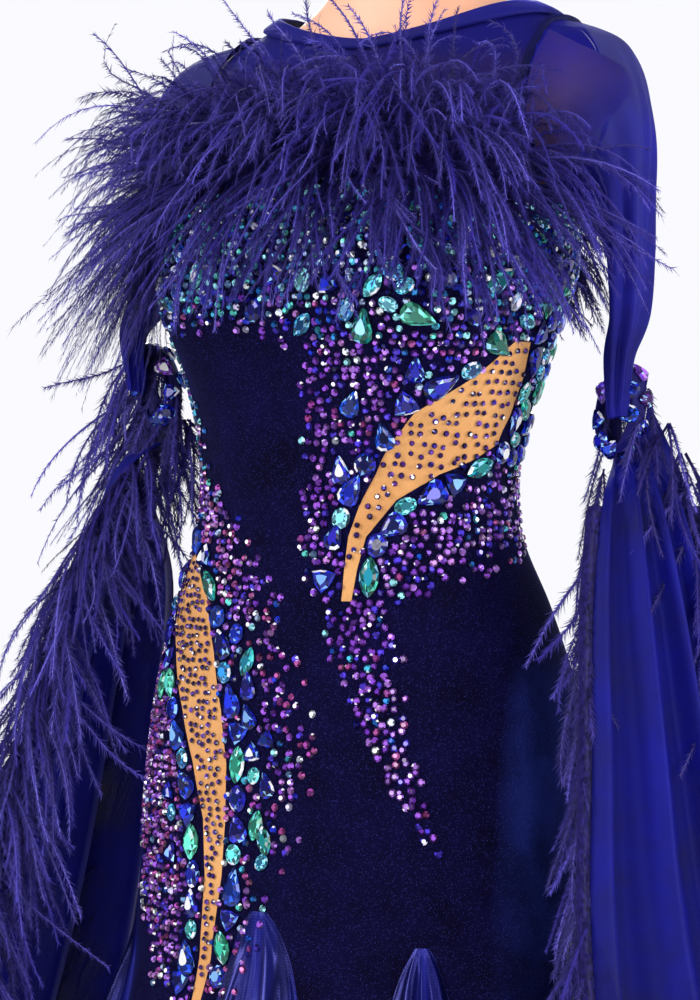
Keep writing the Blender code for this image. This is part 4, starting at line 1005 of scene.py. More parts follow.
class Plumage:
    def __init__(self, seed):
        self.rng = np.random.default_rng(seed)
        self.points, self.faces, self.tints, self.count = [], [], [], 0

    def add(self, points, faces, tint):
        points = points.reshape(-1, 3)
        self.points.append(points)
        self.faces += [[v + self.count for v in f] for f in np.asarray(faces).tolist()]
        self.tints.append(np.broadcast_to(tint, (len(points), 3)) if np.ndim(tint) < 2 else tint.reshape(-1, 3))
        self.count += len(points)

    def frond(self, root, heading, length, gravity, bend, barb, barbs, face):
        rng, steps = self.rng, frondSteps
        s = np.linspace(0, 1, steps)[:, None]
        sway = rng.normal(0, 0.30) * np.sin(2 * pi * s * rng.uniform(0.5, 1.1) + rng.uniform(0, 3))
        heading, facing = unit(heading), unit(face)
        side = unit(np.cross(heading, face))
        way = heading + side * (bend * s ** 1.3 + sway * s) - np.array([0, 0, gravity]) * s ** 1.4
        ahead = unit(way + facing * rng.normal(0, 0.22) * s)
        path = root + np.cumsum(np.vstack([np.zeros((1, 3)), ahead[:-1]]), 0) * length / (steps - 1)
        wide = unit(np.cross(ahead, face))
        body = shaftHalf * (1 - 0.75 * s ** 1.5) * rng.uniform(0.6, 1.4)
        # a random dyed tone for each frond, and a random strength of painted highlight
        tone, paintedHighlight = rng.beta(1.3, 2.1), rng.uniform(0.0, 1.0) ** 2.4
        low = featherDark + (featherMid - featherDark) * tone
        high = low + (featherHighlight - low) * (0.12 + 0.76 * paintedHighlight)
        ribbon = np.stack([path - body * wide, path + body * wide], 1)
        k = np.arange(steps - 1)
        along = np.repeat(np.linspace(0, 1, steps), 2)[:, None]
        # painted shade and highlight down the shaft: darker at the root, lighter towards the tip
        shade = low * (0.6 - 0.6 * along) + high * along
        self.add(ribbon, np.stack([2 * k, 2 * k + 1, 2 * k + 3, 2 * k + 2], 1), shade)
        # a barb is one thin triangle, close to the shaft, leaning forward and falling at its tip
        count = barbs * 2
        t = 0.04 + 0.96 * (np.arange(count) + rng.uniform(0, 1, count)) / count
        hand = np.where(np.arange(count) % 2 == 0, -1.0, 1.0)
        position = np.minimum(t * (steps - 1), steps - 1.001)
        i = position.astype(int)
        f = (position - i)[:, None]
        origin = path[i] * (1 - f) + path[i + 1] * f
        forward, out = ahead[i], wide[i] * hand[:, None]
        size = barb * (0.45 + 0.55 * np.sin(pi * np.clip(t * 0.75 + 0.15, 0, 1)))
        size = size * rng.uniform(0.5, 1.35, count)
        lean = rng.uniform(0.74, 1.20, (count, 1)) + 0.18 * t[:, None]
        way = out * np.cos(lean) + forward * np.sin(lean) + rng.normal(0, 0.12, (count, 3))
        sag = size * rng.uniform(0, 0.35, count)
        tip = origin + way * size[:, None] - np.array([0, 0, 1.0]) * sag[:, None]
        half = forward * rng.uniform(0.00055, 0.00085, (count, 1))
        base = np.arange(count)[:, None] * 3
        # painted highlight at each barb's tip, and painted shade on the barbs near the frond's root
        shade = (np.array([0.1, 0.1, 1.0])[None] * rng.uniform(0.2, 1.0, (count, 1)))[..., None]
        ramp = low[None, None] * (1 - shade) + high[None, None] * shade
        self.add(np.stack([origin - half, origin + half, tip], 1), base + np.array([[0, 1, 2]]),
                 ramp * (0.24 + 0.86 * t[:, None, None]))

    def piece(self, name, nodes):
        makePiece(name, np.concatenate(self.points), self.faces, featherFinish, "feather", nodes,
                  tint=np.concatenate(self.tints))
        print(name, "triangles", sum(len(f) - 2 for f in self.faces))


frondSteps, shaftHalf, tapeDepth = 13, 0.00085, 0.0014
# dyed dark and mid tones, and the light tint of the painted highlights
featherDark, featherMid, featherHighlight = (
    np.array(linear(*rgb)) for rgb in ((12, 5, 54), (36, 26, 122), (116, 108, 218)))


def tapeStrip(grid, outward):
    # the tape that the feathers are sewn to, closed all round
    inner = grid - outward * tapeDepth
    rows, columns = grid.shape[:2]
    faces = gridFaces(rows, columns).tolist()
    low = [[v + rows * columns for v in reversed(f)] for f in faces]
    rim = [(0, j) for j in range(columns)] + [(i, columns - 1) for i in range(1, rows)]
    rim += [(rows - 1, j) for j in range(columns - 2, -1, -1)] + [(i, 0) for i in range(rows - 2, 0, -1)]
    rim = [i * columns + j for i, j in rim]
    walls = [[b, a, a + rows * columns, b + rows * columns] for a, b in zip(rim, rim[1:] + rim[:1])]
    return np.concatenate([grid.reshape(-1, 3), inner.reshape(-1, 3)]), faces + low + walls


def makeCollar(spec):
    plume = Plumage(spec["seed"])
    rng, middle, reach = plume.rng, spec["middle"], spec["reach"]
    shares = np.linspace(-1, 1, 61)
    angles = middle + reach * shares
    rows = [topLine(angles) - 0.001 - 0.010 * i for i in range(4)]
    grid = np.stack([bodyPoint(angles, z) + 0.0024 * bodyNormal(angles, z) for z in rows])
    outward = np.stack([bodyNormal(angles, z) for z in rows])
    plume.add(*tapeStrip(grid, outward), featherDark)
    for climb, length, droop, count, depth, outwardPull, start, end, sweep in spec["layers"]:
        lock = rng.normal(0, 0.26, (count // 4 + 1, 3))
        for k in range(count):
            share = start + (end - start) * (k + rng.uniform(0.1, 0.9)) / count
            angle = middle + reach * share
            z = float(topLine(angle)) - depth + rng.uniform(-0.006, 0.004)
            normal = bodyNormal(angle, z)
            root = bodyPoint(angle, z) + normal * 0.0030
            level = unit(np.array([normal[0], normal[1], 0.0]))
            across = np.array([-level[1], level[0], 0.0])
            calm = 1 - (1 - spec["calm"]) * (share < 0) * abs(share)
            lean = spec["fan"] * calm * share * abs(share) + sweep + lock[k // 4, 0] + rng.normal(0, 0.10)
            heading = level * outwardPull * calm * rng.uniform(0.7, 1.25) + across * lean + np.array(
                [0, 0, climb + 0.7 * lock[k // 4, 1] + rng.normal(0, 0.10)])
            size = length * (0.5 + 0.5 * calm) * rng.uniform(0.72, 1.15)
            gravity, bend = droop * rng.uniform(0.6, 1.4), 1.6 * lock[k // 4, 2] + rng.normal(0, 0.3)
            barb = collarBarb * (1.3 if sweep < -0.3 else 1.0) * rng.uniform(0.7, 1.3)
            plume.frond(root, heading, size, gravity, bend, barb, spec["barbs"], level + np.array([0, 0, 0.35]))
    plume.piece(spec["name"], spec["nodes"])


collarBarb = 0.0064
# layers: climb, length, droop, count, depth below the top edge, pull outward, first and last share, sweep
makeCollar({"name": "collar_front_feathers", "seed": 5, "middle": 0.0, "reach": 60.0, "fan": 0.80,
            "calm": 1.0, "barbs": 80, "nodes": ["collar_front"],
            "layers": ((-1.05, 0.100, 0.3, 115, 0.026, 0.40, -1, 1, 0),
                       (-0.60, 0.115, 0.8, 130, 0.020, 0.60, -1, 1, 0),
                       (-0.10, 0.125, 1.5, 135, 0.012, 0.75, -1, 1, 0),
                       (0.50, 0.125, 2.2, 140, 0.006, 0.75, -1, 1, 0),
                       (1.10, 0.115, 2.6, 125, 0.003, 0.60, -1, 1, 0),
                       (1.60, 0.100, 1.5, 80, 0.003, 0.40, -1, 1, 0),
                       (2.00, 0.112, 0.7, 30, 0.004, 0.26, -1, 0.7, -0.2),
                       (-0.10, 0.150, 1.1, 110, 0.010, 0.55, -1, -0.68, -0.55),
                       (0.60, 0.140, 1.3, 60, 0.006, 0.45, -1, -0.66, -0.50),
                       (-0.90, 0.165, 0.6, 120, 0.014, 0.62, -1, -0.58, -0.36),
                       (1.50, 0.170, 1.7, 24, 0.004, 0.45, -1, -0.45, -1.0))})
makeCollar({"name": "collar_back_feathers", "seed": 6, "middle": 180.0, "reach": 50.0, "fan": 0.65,
            "calm": 0.15, "barbs": 76, "nodes": ["collar_back"],
            "layers": ((-0.95, 0.100, 0.4, 110, 0.024, 0.45, -1, 1, 0),
                       (-0.40, 0.116, 1.0, 120, 0.016, 0.65, -1, 1, 0),
                       (0.25, 0.120, 1.8, 120, 0.008, 0.70, -1, 1, 0),
                       (1.00, 0.110, 2.4, 100, 0.003, 0.55, -1, 1, 0),
                       (1.50, 0.090, 1.4, 50, 0.003, 0.38, -1, 1, 0))})
print("collars made")


def edgeLevels(spec, top):
    # place, way outward along the cloth and way out of it, at levels down one edge of a float
    grid = floatGrid(spec["rows"], spec["band"], spec["side"], 150, 33)
    levels = []
    for height in np.linspace(top, spec["rows"][-1][0], 72):
        line = grid[int(np.argmin(np.abs(grid[:, :, 2].mean(1) - height)))]
        run = line[-1] - line[0]
        run = np.array([run[0], run[1], 0.0]) / np.hypot(run[0], run[1])
        edgePoint, away = (line[0], -run) if spec["atFront"] else (line[-1], run)
        levels.append((edgePoint, away, np.array([run[1], -run[0], 0.0]) * spec["side"]))
    return levels


def plumeTape(plume, spec, top):
    levels = edgeLevels(spec, top)
    gap = 0.0005 if spec["atFront"] else 0.0015
    grid = np.stack([np.stack([p - away * 0.003 - out * 0.0012, p + away * (gap + 0.011)])
                     for p, away, out in levels])
    outward = np.stack([np.stack([out, out]) for _, _, out in levels])
    if (spec["side"] > 0) == spec["atFront"]:
        grid, outward = grid[:, ::-1], outward[:, ::-1]
    plume.add(*tapeStrip(grid, outward), featherDark)


def edgeFronds(plume, spec, top):
    rng, count = plume.rng, spec["count"]
    levels = edgeLevels(spec, top + 0.045)
    locks = rng.normal(0, 0.30, (count // 4 + 1, 3))
    for k in range(count):
        position = ((k + rng.uniform(0, 1)) / count) ** spec["crowd"] * (len(levels) - 1)
        p, away, out = levels[int(position)]
        root = p + away * rng.uniform(0.001, 0.010) + out * 0.001
        lock = locks[k // 4]
        swing = rng.uniform(0.05, 0.60) if rng.uniform() > spec["inward"] else -rng.uniform(0.05, 0.60)
        level, face = away * (swing + lock[0]) + out * (0.75 - abs(swing) * 0.5), out + np.array([0, 0, 0.2])
        fall = -rng.uniform(0.5, 1.2) + 0.5 * lock[1]
        if spec["atFront"]:
            turned = math.radians(rng.uniform(*spec["sector"])) + lock[0]
            level = (away * math.cos(turned) + out * math.sin(turned)) * rng.uniform(*spec["spread"])
            fall = -rng.uniform(0.5, 1.2) + 0.5 * lock[1]
            face = np.array([0.35, -1.0, 0.3])
        length, gravity = spec["long"] * rng.uniform(0.075, 0.128), rng.uniform(0.6, 2.0)
        bend = 1.7 * lock[2] + rng.normal(0, 0.35)
        barb = plumeBarb * rng.uniform(0.7, 1.3)
        plume.frond(root, level + np.array([0, 0, fall]), length, gravity, bend, barb, plumeBarbs, face)


def bandTuft(plume, spec):
    # fronds that hang over the right wrist band, or behind the left one
    rng, band, over = plume.rng, spec["band"], spec["side"] < 0
    outward, lean = (0.30, (-0.35, -0.25, -1.10)) if over else (-0.10, (0.0, 0.05, -1.10))
    for _ in range(spec["tuft"]):
        turn = rng.uniform(0, 2 * pi) if over else rng.uniform(0.15, 0.85) * pi
        root = bandRing(band, turn, band[5] * (rng.uniform(0.2, 1.0) if over else 1.05), 0.0012)
        heading = unit(root - np.array(band[:3])) * outward + np.array(lean) + rng.normal(0, 0.20, 3)
        length, gravity, bend = rng.uniform(0.060, 0.105), rng.uniform(0.6, 1.8), rng.normal(0, 0.5)
        barb = plumeBarb * rng.uniform(0.7, 1.3)
        plume.frond(root, heading, length, gravity, bend, barb, plumeBarbs, np.array([0.35, -1.0, 0.2]))


def makePlumes(spec):
    plume = Plumage(spec["seed"])
    top = spec["rows"][1][0]
    plumeTape(plume, spec, top)
    edgeFronds(plume, spec, top)
    bandTuft(plume, spec)
    plume.piece(spec["name"] + "_feathers", [spec["name"]])


plumeBarb, plumeBarbs = 0.0062, 80
shared = {"long": 1.0, "crowd": 1.0, "tuft": 0}
leftPlumes = {**shared, "inward": 0.48, "sector": (-110, 20), "spread": (0.1, 0.42)}
rightPlumes = {**shared, "inward": 0.30, "sector": (-105, 60), "spread": (0.4, 0.9)}
plumes = ({**leftPlumes, "name": "plumes_left_front", "seed": 36, "count": 170, "tuft": 14, "long": 0.72,
           "crowd": 0.75},
          {**leftPlumes, "name": "plumes_left_back", "seed": 32, "count": 310},
          {**rightPlumes, "name": "plumes_right_front", "seed": 34, "count": 430, "tuft": 80},
          {**rightPlumes, "name": "plumes_right_back", "seed": 30, "count": 330})
for spec, (_, side, band, rows) in zip(plumes, (arms[0], arms[0], arms[1], arms[1])):
    makePlumes({**spec, "side": side, "band": band, "rows": rows, "atFront": "front" in spec["name"]})
print("plumes made")

# stones

# sRGB tints of each family, picked by chance
families = {"aqua": ((64, 170, 205), (40, 120, 190), (90, 206, 196), (20, 80, 150), (150, 224, 235)),
            "violet": ((122, 62, 184), (150, 84, 206), (92, 40, 150), (172, 116, 220), (70, 50, 190)),
            "rose": ((158, 66, 160), (170, 80, 150), (120, 60, 170), (180, 120, 200), (140, 56, 120)),
            "blue": ((16, 18, 140), (10, 10, 96), (24, 44, 186), (44, 36, 160), (16, 70, 176)),
            "green": ((20, 128, 108), (10, 84, 84), (64, 184, 150), (30, 130, 160), (96, 206, 170)),
            "deep": ((62, 30, 110), (80, 36, 120), (44, 24, 90), (96, 60, 150), (60, 40, 140)),
            "clear": ((216, 222, 240), (160, 180, 220), (240, 244, 250), (120, 160, 210), (196, 190, 226))}


def frameAt(angle, z):
    normal = skinNormal(angle, z)
    upward = unit(np.array([0, 0, 1.0]) - normal * normal[..., 2:])
    return skin(angle, z), np.cross(upward, normal), upward, normal


def tintsOf(names, rng):
    picked = np.array([families[name][rng.integers(5)] for name in names]) / 255.0
    return np.where(picked <= 0.04045, picked / 12.92, ((picked + 0.055) / 1.055) ** 2.4)


stoneLift = 0.0004
outlineSides = {"emerald": 8, "trillion": 9, "pear": 14, "navette": 14, "oval": 14}
# share of the outline and of the height of a large stone's rings, from the base up
stoneRings = ((0.96, 0.0), (1.0, 0.30), (0.78, 0.72), (0.46, 1.0))


def outlineOf(kind):
    sides = outlineSides[kind]
    t = np.arange(sides) * 2 * pi / sides + (pi / 8 if kind == "emerald" else 0)
    x, y = np.sin(t), np.cos(t)
    if kind == "pear":
        return x * (0.62 - 0.42 * y + 0.1 * y * y) / 0.72, y
    if kind == "navette":
        return x * (1 - 0.28 * y * y) * np.abs(x) ** 0.25, y
    if kind == "emerald":
        return x * 1.08, y * 1.08
    if kind == "trillion":
        bow = 0.80 + 0.20 * np.cos(3 * t)
        return x * bow * 1.1, y * bow * 1.1
    return x, y


class Stones:
    def __init__(self, seed):
        self.rng = np.random.default_rng(seed)
        self.points, self.faces, self.tints, self.count, self.large = [], [], [], 0, []

    def add(self, points, faces, tints):
        points = points.reshape(-1, 3)
        self.points.append(points)
        self.faces += [[int(v) + self.count for v in face] for face in faces]
        self.tints.append(tints.reshape(-1, 3))
        self.count += len(points)

    def small(self, angle, z, radius, names):
        # eight-sided flat-backs: painted reflections make the facets of uneven brightness, and a few carry a
        # painted white glint
        rng, count, lift = self.rng, len(angle), stoneLift
        spot, across, upward, normal = frameAt(angle, z)
        turn = np.arange(8) * pi / 4 + rng.uniform(0, pi / 4, (count, 1))
        tilt = rng.normal(0, 0.06, (count, 2))
        normal = normal + across * tilt[:, :1] + upward * tilt[:, 1:]
        size = radius[:, None, None]
        ring = (np.cos(turn)[..., None] * across[:, None] + np.sin(turn)[..., None] * upward[:, None]) * size
        base = spot[:, None] + normal[:, None] * lift + ring
        top = spot[:, None] + normal[:, None] * (lift + 0.62 * size) + ring * 0.56
        points = np.concatenate([base, top], 1)
        k = np.arange(8)
        shape = [[a, (a + 1) % 8, 8 + (a + 1) % 8, 8 + a] for a in k] + [[8 + a for a in k]]
        faces = [[v + 16 * i for v in face] for i in range(count) for face in shape]
        tint = tintsOf(names, rng) * 0.78
        # painted light on each facet: most painted dark, some painted bright, and the table lit at random
        paintedFacetLight = rng.uniform(0.04, 0.40, (count, 9))
        paintedFacetLight = np.where(rng.uniform(size=(count, 9)) < 0.25, rng.uniform(0.8, 1.6, (count, 9)), paintedFacetLight)
        paintedFacetLight[:, 8] = rng.uniform(0.25, 1.45, count)
        colors = tint[:, None] * paintedFacetLight[..., None]
        glint = rng.uniform(size=(count, 9)) < 0.035
        colors = np.where(glint[..., None], 0.75 + 0.2 * tint[:, None], np.minimum(colors, 1.0))
        self.add(points, faces, colors)

    def big(self, kind, angle, z, long, wide, turned, name):
        self.at(kind, *frameAt(float(angle), float(z)), long, wide, turned, name)

    def at(self, kind, spot, across, upward, normal, long, wide, turned, name):
        rng = self.rng
        radians = math.radians(turned)
        # long runs up the stone, and turned leans it over to the right
        far = upward * math.cos(radians) + across * math.sin(radians)
        aside = np.cross(far, normal)
        x, y = outlineOf(kind)
        sides = len(x)
        outline = x[:, None] * aside * wide / 2 + y[:, None] * far * long / 2
        height = 0.16 * wide + 0.0014
        points = np.concatenate([spot + outline * s + normal * (stoneLift + height * h) for s, h in stoneRings])
        tint = tintsOf([name] * (sides * 6 + 1), rng)
        main = tintsOf([name], rng)[0]
        faces = []
        for level in range(3):
            for a in range(sides):
                b = (a + 1) % sides
                low, high = level * sides, (level + 1) * sides
                if (a + level) % 2:
                    faces += [[low + a, low + b, high + b], [low + a, high + b, high + a]]
                else:
                    faces += [[low + a, low + b, high + a], [low + b, high + b, high + a]]
        faces.append([3 * sides + a for a in range(sides)])
        # painted reflections: each facet is painted shaded or lit at random, and a few carry a painted icy glint
        draw = rng.uniform(size=(len(faces), 1))
        shadedFacet, litFacet = rng.uniform(0.03, 0.55, draw.shape), rng.uniform(0.9, 1.7, draw.shape)
        colors = (0.55 * main + 0.45 * tint) * np.where(draw < 0.68, shadedFacet, litFacet)
        icyGlint = 0.35 * main + np.array([0.30, 0.62, 0.95]) * rng.uniform(0.4, 0.9, draw.shape)
        colors = np.where(draw > 0.93, icyGlint, colors)
        # painted highlight: one patch of neighbouring facets flashes white
        flash = int(rng.integers(sides))
        paintedHighlight = 0.85 if rng.uniform() < 0.5 else 0.0
        for k in range(len(faces) - 1):
            level, a = divmod(k // 2, sides)
            if level == 1 and (a - flash) % sides <= 1:
                colors[k] = np.maximum(colors[k], paintedHighlight * np.array([0.92, 0.90, 1.0]) * (0.7 + 0.3 * (k % 2)))
        # now and then a painted highlight on the table as well
        if rng.uniform() < 0.18:
            colors[-1] = np.maximum(colors[-1], paintedHighlight * 0.7)
        self.add(points, faces, np.minimum(colors, 1.0))
        self.large.append((spot, aside, far, wide / 2, long / 2))

    def free(self, spot, radius):
        clear = np.ones(len(spot), bool)
        for middle, aside, far, halfWide, halfLong in self.large:
            away = spot - middle
            x, y = away @ aside / (halfWide + radius), away @ far / (halfLong + radius)
            clear &= (x * x + y * y > 0.80) | (np.linalg.norm(away, axis=1) > 0.04)
        return clear

    def roomFor(self, angle, z, radius):
        return bool(self.free(skin(float(angle), float(z))[None], radius)[0])

    def piece(self, name):
        makePiece(name, np.concatenate(self.points), self.faces, stoneFinish, "jewel",
                  tint=np.concatenate(self.tints), smooth=False)
        print(name, "triangles", sum(len(f) - 2 for f in self.faces))


def fade(value, low, high, softLow, softHigh):
    return np.clip((value - low) / softLow + 0.5, 0, 1) * np.clip((high - value) / softHigh + 0.5, 0, 1)


def table(rows, at, column):
    rows = sorted(rows)
    return np.interp(at, [r[0] for r in rows], [r[column] for r in rows])


# angle, lowest and highest height of the bust band
bustBand = ((-90, 1.26, 1.345), (-45, 1.255, 1.36), (0, 1.235, 1.36), (60, 1.225, 1.36), (80, 1.20, 1.36),
            (95, 1.19, 1.35), (112, 1.25, 1.35), (135, 1.31, 1.36), (180, 1.325, 1.37), (225, 1.31, 1.36),
            (270, 1.26, 1.345))
# the swath starts at centre front, narrows past the waist and turns into a tail
swathPlan = {"top": 1.26, "left": 3.0, "wide": 76.0, "waist": 36.0, "turnZ": 1.08, "endZ": 0.858, "turn": 37.5}
# how far the field hangs below the waist insert, and how far round it goes
fieldPlan = {"depth": 0.070, "top": 1.155, "from": 20.0, "to": 126.0}
# how far the sweep spreads from the hip insert's two seams, and the strip above it up the side
sweepPlan = {"endZ": 0.74, "tall": 0.36, "out": 42.0, "in": 20.0, "shoulder": 20.0, "strip": (-73.0, -50.0)}


def swathEdges(z):
    plan = swathPlan
    above = np.clip((z - plan["turnZ"]) / (plan["top"] - plan["turnZ"]), 0, 1)
    fall = np.clip((plan["turnZ"] - z) / (plan["turnZ"] - plan["endZ"]), 0, 1)
    left = plan["left"] + plan["turn"] * fall ** 1.35
    width = plan["waist"] + (plan["wide"] - plan["waist"]) * above ** 1.5 - (plan["waist"] - 2.0) * fall ** 0.60
    return left, left + width


def fieldEdges(angle):
    heights = np.linspace(waistTip, 1.180, 60)
    upper = np.minimum(np.interp(angle, seamLine(waistLower, heights), heights), fieldPlan["top"])
    return upper - fieldPlan["depth"] * np.clip((fieldPlan["to"] - angle) / 26.0, 0.2, 1), upper


def sweepEdges(z):
    plan = sweepPlan
    rise = np.clip((z - plan["endZ"]) / plan["tall"], 0, 1)
    left = seamLine(hipOuter, z) - 2.0 - plan["out"] * np.sin(pi * rise)
    right = seamLine(hipInner, z) + 2.0 + plan["in"] * np.clip(rise * 1.4, 0, 1)
    right = right + plan["shoulder"] * np.clip(rise * 5 - 4, 0, 1)
    up = np.clip((z - hipTop) / 0.05, 0, 1)
    return left + (plan["strip"][0] - left) * up, right + (plan["strip"][1] - right) * up


def inInsert(angle, z, margin=0.0):
    reach = perDegree(angle, z)

    def inside(first, second, top, tip):
        past = (angle - seamLine(first, z)) * reach > -margin
        short = (seamLine(second, z) - angle) * reach > -margin
        return (z < top + margin) & (z > tip - margin) & past & short

    return inside(hipOuter, hipInner, hipTop, hipTip), inside(waistUpper, waistLower, waistTop, waistTip)


def touchesInsert(angle, z, margin):
    return any(inInsert(np.array(angle), np.array(z), margin))


def walkAlong(path):
    return np.concatenate([[0], np.cumsum(np.linalg.norm(np.diff(path, axis=0), axis=1))])


def candidates(pitch, low, high, rng):
    # spots in staggered rows round the body, each moved a little
    angles, heights = [], []
    turn = np.arange(-180, 180, 0.5)
    for row, z in enumerate(np.arange(low, high, pitch * 0.866)):
        run = walkAlong(bodyPoint(turn, z))
        spots = np.arange(0.5 * (row % 2), run[-1] / pitch, 1.0) * pitch
        angles.append(np.interp(spots, run, turn))
        heights.append(np.full(len(spots), z))
    angle, z = np.concatenate(angles), np.concatenate(heights)
    reach = perDegree(angle, z)
    angle = angle + rng.normal(0, pitch * 0.15, len(angle)) / reach
    return angle, z + rng.normal(0, pitch * 0.15, len(angle))


def edgeStones(stones, spec):
    rng = stones.rng
    heights = np.linspace(spec["top"], spec["bottom"], 400)
    angles = seamLine(spec["line"], heights)
    run = walkAlong(bodyPoint(angles, heights))
    walked, turn = 0.004, 0
    while walked < run[-1]:
        kind, long, wide, name = spec["pattern"][turn % len(spec["pattern"])]
        long, wide = long * rng.uniform(0.90, 1.15), wide * rng.uniform(0.95, 1.15)
        at = min(walked + long / 2, run[-1])
        angle, z = float(np.interp(at, run, angles)), float(np.interp(at, run, heights))
        reach = perDegree(angle, z)
        ahead = [np.interp(at + 0.004, run, line) - np.interp(at - 0.004, run, line)
                 for line in (angles, heights)]
        ahead = unit(np.array(ahead) * (reach, 1.0))
        aside = np.array([-ahead[1], ahead[0]]) * spec["sign"] * (wide / 2 + 0.0010)
        angle, z = angle + aside[0] / reach, z + aside[1]
        if stones.roomFor(angle, z, wide * 0.30):
            slope = math.degrees(math.atan2(-ahead[0], -ahead[1]))
            stones.big(kind, angle, z, long, wide, slope + rng.normal(0, 10) + 180 * (turn % 2), name)
        walked += long + 0.0006
        turn += 1


bluePattern = (("pear", 0.023, 0.015, "blue"), ("oval", 0.015, 0.012, "aqua"), ("pear", 0.025, 0.016, "blue"),
               ("trillion", 0.018, 0.018, "blue"), ("navette", 0.026, 0.014, "green"),
               ("oval", 0.018, 0.015, "blue"))
# kind, length, width and family of the bust's large stones, taken in turn
bustPattern = (("pear", 0.027, 0.017, "green"), ("oval", 0.018, 0.013, "aqua"),
               ("navette", 0.021, 0.012, "aqua"),
               ("emerald", 0.018, 0.013, "blue"), ("oval", 0.014, 0.011, "blue"),
               ("trillion", 0.017, 0.017, "blue"),
               ("oval", 0.015, 0.011, "aqua"), ("emerald", 0.014, 0.010, "clear"))


def bustLarge(stones, seed, count):
    layout = np.random.default_rng(seed)
    placed = 0
    for _ in range(900):
        angle, z = layout.uniform(-68, 82), layout.uniform(1.225, 1.300)
        if placed == count or z < table(bustBand, np.array(angle), 1) + 0.006:
            continue
        kind, long, wide, name = bustPattern[placed % len(bustPattern)]
        if stones.roomFor(angle, z, wide * 0.5 + 0.001) and not touchesInsert(angle, z, long * 0.6):
            stones.big(kind, angle, z, long, wide, layout.uniform(0, 180), name)
            placed += 1
    # a loose line of stones down the swath
    for k, z in enumerate(np.arange(1.212, 1.030, -0.0235)):
        left, right = swathEdges(z)
        angle = float(left + (right - left) * (0.42 + 0.14 * (-1) ** k))
        if stones.roomFor(angle, z, 0.007) and not touchesInsert(angle, z, 0.008):
            stones.big("pear", angle, z, 0.021, 0.014, layout.uniform(-35, 35), "blue")
    print("large bust stones", placed)


bustSet = Stones(11)
bustLarge(bustSet, 31, 32)
edgeStones(bustSet, {"line": waistUpper, "sign": -1, "top": 1.228, "bottom": 1.062, "pattern": bluePattern})
edgeStones(bustSet, {"line": waistLower, "sign": 1, "top": 1.300, "bottom": 1.062,
                     "pattern": bluePattern[::-1]})
for k in range(150):
    # large stones down the left flank
    angle, z = bustSet.rng.uniform(86, 116), bustSet.rng.uniform(1.150, 1.300)
    if angle > 90 and not touchesInsert(angle, z, 0.006) and bustSet.roomFor(angle, z, 0.0065):
        kind, long, wide, name = bluePattern[k % 6]
        bustSet.big(kind, angle, z, long * 0.9, wide * 0.95, bustSet.rng.uniform(0, 180), name)
hipSet = Stones(12)
edgeStones(hipSet, {"line": hipOuter, "sign": -1, "top": 1.080, "bottom": 0.772, "pattern": bluePattern})
edgeStones(hipSet, {"line": hipInner, "sign": 1, "top": 1.094, "bottom": 0.772,
                    "pattern": bluePattern[2:] + bluePattern[:2]})
for k in range(40):
    # more beside the hip insert, most of them on its inner side
    z = hipSet.rng.uniform(0.84, 1.10)
    inner = hipSet.rng.uniform() < 0.62
    away = hipSet.rng.uniform(8, 13) if inner else -hipSet.rng.uniform(8, 14)
    angle = float(seamLine(hipInner if inner else hipOuter, z)) + away
    if hipSet.roomFor(angle, z, 0.006) and z > 0.86:
        kind, long, wide, name = bluePattern[k % 6]
        hipSet.big(kind, angle, z, long * 0.85, wide * 0.85, hipSet.rng.uniform(-40, 40), name)


def scatter(stones, pitch, spec):
    rng = stones.rng
    angle, z = candidates(pitch, spec["low"], spec["high"], rng)
    share, names = spec["rule"](angle, z, rng)
    hip, waist = inInsert(angle, z, 0.0008)
    clear = (rng.uniform(size=len(angle)) < share) & ~hip & ~waist
    radius = rng.uniform(0.0025, 0.0031, len(angle))
    clear &= stones.free(skin(angle, z), radius)
    picked = np.nonzero(clear)[0]
    stones.small(angle[picked], z[picked], radius[picked], [names[i] for i in picked])
    print("stones", len(picked))


def pick(chances, rng):
    # one word a stone, by the weights of each at its spot
    words = [word for word, _ in chances]
    weights = np.stack([np.broadcast_to(weight, chances[0][1].shape) for _, weight in chances])
    weights = np.maximum(weights, 0) + 1e-9
    level = np.cumsum(weights / weights.sum(0), 0)
    draw = rng.uniform(size=level.shape[1])
    return [words[i] for i in (draw > level).sum(0)]


def bustRule(angle, z, rng):
    turned = np.where(angle < -100, angle + 360, angle)
    band = fade(z, table(bustBand, turned, 1), table(bustBand, turned, 2), 0.020, 0.02)
    band = band * np.where((turned > 118) & (turned < 248), 0.45, 1.0)
    narrow = np.clip((z - 0.93) / 0.10, 0, 1)
    lane = fade(angle, *swathEdges(z), 1.2 + 4.8 * narrow, 1.2 + 8 * narrow)
    lane = lane * (z < swathPlan["top"]) * (z > swathPlan["endZ"] - 0.001)
    low, high = fieldEdges(angle)
    below = fade(z, low - 0.004, high, 0.036, 0.01) * (angle > fieldPlan["from"]) * (angle < fieldPlan["to"])
    share = np.maximum(np.maximum(band, lane * 0.95), below * 0.90) * 0.97
    violet = np.clip((1.285 - z) / 0.05, 0, 1) * np.clip((angle + 40) / 30, 0, 1) + (z < 1.235) * 1.5
    right = np.clip((angle - 60) / 30, 0, 1) * (z > 1.13)
    chances = [("aqua", 0.55 + right * 0.8 - 0.42 * (z < 1.235)), ("violet", violet),
               ("clear", 0.10 - 0.06 * (z < 1.235)),
               ("blue", 0.34 + right * 0.5 - 0.20 * (z < 1.235)), ("rose", violet * 0.12)]
    return share, pick(chances, rng)


